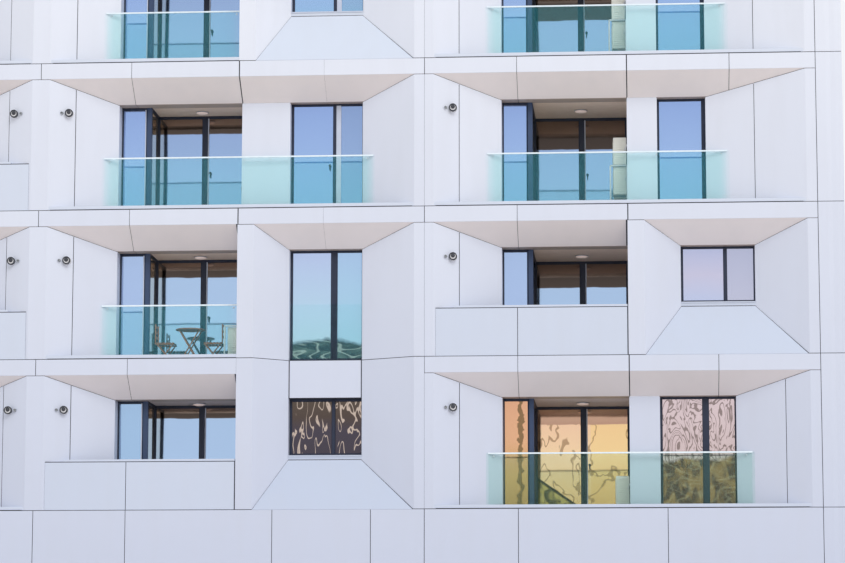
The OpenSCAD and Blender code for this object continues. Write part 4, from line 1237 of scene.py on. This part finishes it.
def airConditioners():
    # A rounded casing with a fan behind wire hoops, louvres on its ends and insulated pipes to the wall
    casings, wires, pipes = heaps(3)
    v, b, p = acValues, bracketValues, pipeValues
    wide, deep, high, wire, bar = v["wide"], v["deep"], v["high"], v["wire"], b["bar"]
    r, face, inner = high * v["grille"], (-1, 0, 0), v["hoopShares"][0]
    for cell in cells:
        places = acPlaces(cell)
        x = loggiaRight - v["gap"] - deep
        y = (freeY + cell.doorY - wide) / 2
        for z in places:
            slab(casings, cell, (x + v["lid"], y, z), (x + deep, y + wide, z + high), v["edge"])
            centre = np.array([x + v["lid"], y + wide * v["fan"], z + high / 2])
            hub = centre - (v["lid"] - wire, 0, 0)
            rim = r + v["collar"]
            turned(casings, cell, centre, face, [(rim, -0.002), (rim, 0.006), (r, 0.010), (r, -0.001)])
            turned(wires, cell, centre, face, [(r, 0.001), (r, 0.002)])
            for share in np.linspace(*v["hoopShares"], v["hoops"]):
                hoop(wires, cell, hub, face, r * share, v["hoop"])
            for angle in np.linspace(0, 2 * np.pi, v["spokes"] + 1)[:-1]:
                arm = np.array([0, math.cos(angle), math.sin(angle)]) * r
                stick(wires, cell, hub + arm * inner, hub + arm, wire, wire, (1, 0, 0), 0.001)
            for end in (y - wire, y + wide + wire):
                for rise in z + high * np.linspace(*v["louvreShares"], v["louvres"]):
                    stick(casings, cell, (x + v["louvreLeft"], end, rise),
                          (x + deep - v["louvreRight"], end, rise), v["louvreWide"], v["louvreDeep"])
            if z == places[0] and cell.row:
                left, right = x - b["left"], loggiaRight - b["right"]
                top, at = z + high + b["over"], y - b["out"]
                for side in (left, right):
                    stick(pipes, cell, (side, at, b["foot"]), (side, at, top), bar, bar, (0, 1, 0))
                stick(pipes, cell, (left, at, top), (right, at, top), bar, bar)
            at = y - p["hoseOut"]
            stick(pipes, cell, (x + deep - p["hoseIn"], at, z + p["hoseFoot"]),
                  (loggiaRight - p["hoseEnd"], at, z + p["hoseTop"]), p["hose"], p["hose"])
            at = y + wide + p["pipeOut"]
            for rise in p["rises"]:
                stick(pipes, cell, (x + deep - p["pipeIn"], at, z + rise), (loggiaRight, at, z + rise),
                      p["pipe"], p["pipe"], edge=p["edge"])
    return casings, wires, pipes


casings, wires, pipes = airConditioners()
makePiece("condenser_casings", casings, "housing", "housing", ("air_conditioners",), smooth=35)
makePiece("condenser_grilles", wires, "darkPlastic", "housing", smooth=40)
makePiece("condenser_pipes", pipes, "whitePlastic", "housing")

furnitureValues = dict(high=0.74, across=0.60, seat=0.45, stick=0.025, spread=0.42, chair=0.38, back=0.38,
                       reach=0.50, place=0.56, slats=9, slatFill=0.82, slatReach=0.86, seatSlats=6,
                       seatSlat=0.048, seatIn=0.025, backSlats=(0.3, 0.6, 0.9), backSlat=(0.012, 0.05),
                       rim=0.003, rimWide=0.022, tableCross=0.013, chairCross=0.010)


def furniture():
    # A round slatted table on crossed legs, and two folding chairs that face it
    tables, chairs = heaps(2)
    v = furnitureValues
    s, e, high, seat = v["stick"], v["rim"], v["high"], v["seat"]
    r, edge, rail, rimWide = v["across"] / 2, v["chair"] / 2, seat - s * 1.5, v["rimWide"]
    for cell in cells:
        if cell.recess != "tallHigh" or cell.guard != "glass":
            continue
        middle = np.array([front["loggia"] + front["loggiaWidth"] * v["place"],
                           (freeY + cell.doorY) / 2, 0.0])

        def bar(start, end, wide=s, deep=s, upright=(0, 0, 1.0), turn=0):
            # Chairs are set out from their own middle, turned towards the table
            heap, away, turn = (chairs, v["reach"], turn) if turn else (tables, 0.0, 1)
            ends = [middle + (turn * (x - away), turn * y, z) for x, y, z in (start, end)]
            stick(heap, cell, *ends, wide, deep, upright)

        for y in np.linspace(-r * v["slatReach"], r * v["slatReach"], v["slats"]):
            x, z = math.sqrt(r * r - y * y) - 0.012, high - s / 2
            bar((-x, y, z), (x, y, z), 2 * r / v["slats"] * v["slatFill"], s * 0.7)
        rim = [(r - rimWide, 0), (r, e), (r, s - e), (r - e, s), (r - rimWide + e, s), (r - rimWide, s - e)]
        turned(tables, cell, middle + (0, 0, high - s), (0, 0, 1), rim, 48)
        for y in (-r / 2, r / 2):
            for x, shift in ((-v["spread"] / 2, -v["tableCross"]), (v["spread"] / 2, v["tableCross"])):
                bar((-x, y + shift, 0), (x, y + shift, high - s), upright=(0, 1, 0))
        bar((0, -r / 2, high / 2), (0, r / 2, high / 2))
        for turn in (1, -1):
            for y in (-edge + s / 2, edge - s / 2):
                for x, shift in ((s - edge, -v["chairCross"]), (edge - s, v["chairCross"])):
                    bar((-x, y + shift, 0), (x, y + shift, rail), s, s * 0.8, (0, 1, 0), turn)
                bar((-edge, y, rail), (edge, y, rail), turn=turn)
                x = -edge - s / 2
                bar((x, y, rail), (x, y, seat + v["back"]), upright=(0, 1, 0), turn=turn)
            for x in np.linspace(-edge + v["seatIn"], edge - v["seatIn"], v["seatSlats"]):
                bar((x, -edge, seat - s / 2), (x, edge, seat - s / 2), v["seatSlat"], s * 0.7, turn=turn)
            for share in v["backSlats"]:
                x, z = -edge - s * 0.8, seat + v["back"] * share
                bar((x, s - edge, z), (x, edge - s, z), *v["backSlat"], turn=turn)
    return tables, chairs


tables, chairs = furniture()
makePiece("slatted_table", tables, "timber", "timber", ("balcony_table",))
makePiece("slatted_chairs", chairs, "timber", "timber", ("balcony_chairs",))
print("fittings made")


# Finishes of the pieces that stay as they are
kept = dict(
    concrete=["ground_slab", "floor_slabs", "roof_slab"],
    backing=["slab_bands", "base_fascia", "loggia_side_ribs", "window_side_ribs", "window_piers",
             "sloped_sills", "head_panels", "party_walls"],
    frontBacking=["base_piers", "loggia_parapets", "roof_parapets"],
    plaster=["front_walls", "window_spandrels", "roof_end_parapets", "loggia_side_walls"],
    rearBacking=["rear_bands", "rear_piers"],
    ceiling=["loggia_ceilings"],
    zinc=["ac_brackets"])
for finish, nodes in kept.items():
    for node in nodes:
        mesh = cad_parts[node].data
        mesh.materials.clear()
        mesh.materials.append(finishes[finish])
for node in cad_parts.values():
    if not node.data.materials:
        node.data.materials.append(finishes["plaster"])


# Floor, light and camera

stageValues = dict(reach=200.0, floor=(238, 232, 228), patch=(232, 226, 222), backdrop=(246, 247, 250))
lampValues = dict(sky=(0.93, 0.96, 1.0, 1.0), ground=(1.0, 0.90, 0.84, 1.0), low=-0.2, high=0.3,
                  strength=0.82, sun=1.1, sunAngle=30.0, sunTurn=(52.0, 0.0, 24.0),
                  sunColour=(1.0, 0.985, 0.96))
cameraValues = dict(place=(12.50, -66.0, 0.60), yaw=4.32, pitch=8.21, roll=-0.04, lens=126.9, sensor=36.0,
                    far=1000.0)


def addToScene(name, data):
    made = bpy.data.objects.new(name, data)
    bpy.context.scene.collection.objects.link(made)
    return made


def stageFloor():
    f = Finish("pale_floor")
    mesh = bpy.data.meshes.new("floor")
    reach = stageValues["reach"]
    mesh.from_pydata([(-reach, -reach, 0), (reach, -reach, 0), (reach, reach, 0), (-reach, reach, 0)], [],
                     [(0, 1, 2, 3)])
    shade = f.mix(f.noise(0.3), stageValues["floor"], stageValues["patch"])
    mesh.materials.append(f.surface(Base_Color=shade, Roughness=0.9))
    floor = addToScene("floor", mesh)


def skyLight():
    # Soft light from a pale sky, with a plain backdrop for the camera, for glass and for mirrors
    f = Finish("soft_sky", "worlds")
    v = lampValues
    bpy.context.scene.world = f.owner
    level = f.step(f.axes(f.node("ShaderNodeTexCoord"))[2], v["low"], v["high"])
    f.surface(Color=f.mix(level, v["ground"], v["sky"]), Strength=v["strength"])
    seen = f.node("ShaderNodeBackground", None, {"Color": stageValues["backdrop"]})
    rays = f.node("ShaderNodeLightPath").socket.node.outputs
    camera, glass, mirror = [Wire(f, rays[f"Is {name} Ray"]) for name in ("Camera", "Transmission", "Glossy")]
    share = camera.sum("MAXIMUM", camera.sum("MAXIMUM", camera, glass), mirror)
    f.show("World Output", share, Wire(f, f.shader.outputs[0]), seen)


def sunLight():
    sun = bpy.data.lights.new("sun", "SUN")
    sun.energy = lampValues["sun"]
    sun.angle = math.radians(lampValues["sunAngle"])
    sun.color = lampValues["sunColour"]
    addToScene("sun", sun).rotation_euler = [math.radians(a) for a in lampValues["sunTurn"]]


stageFloor()
skyLight()
sunLight()
v = cameraValues
camera = addToScene("camera", bpy.data.cameras.new("camera"))
camera.data.lens = v["lens"]
camera.data.sensor_width = v["sensor"]
camera.data.clip_end = v["far"]
camera.location = v["place"]
camera.rotation_euler = [math.radians(a) for a in (90 + v["pitch"], v["roll"], v["yaw"])]
bpy.context.scene.camera = camera
bpy.context.scene.view_settings.view_transform = "Standard"
print("stage made")
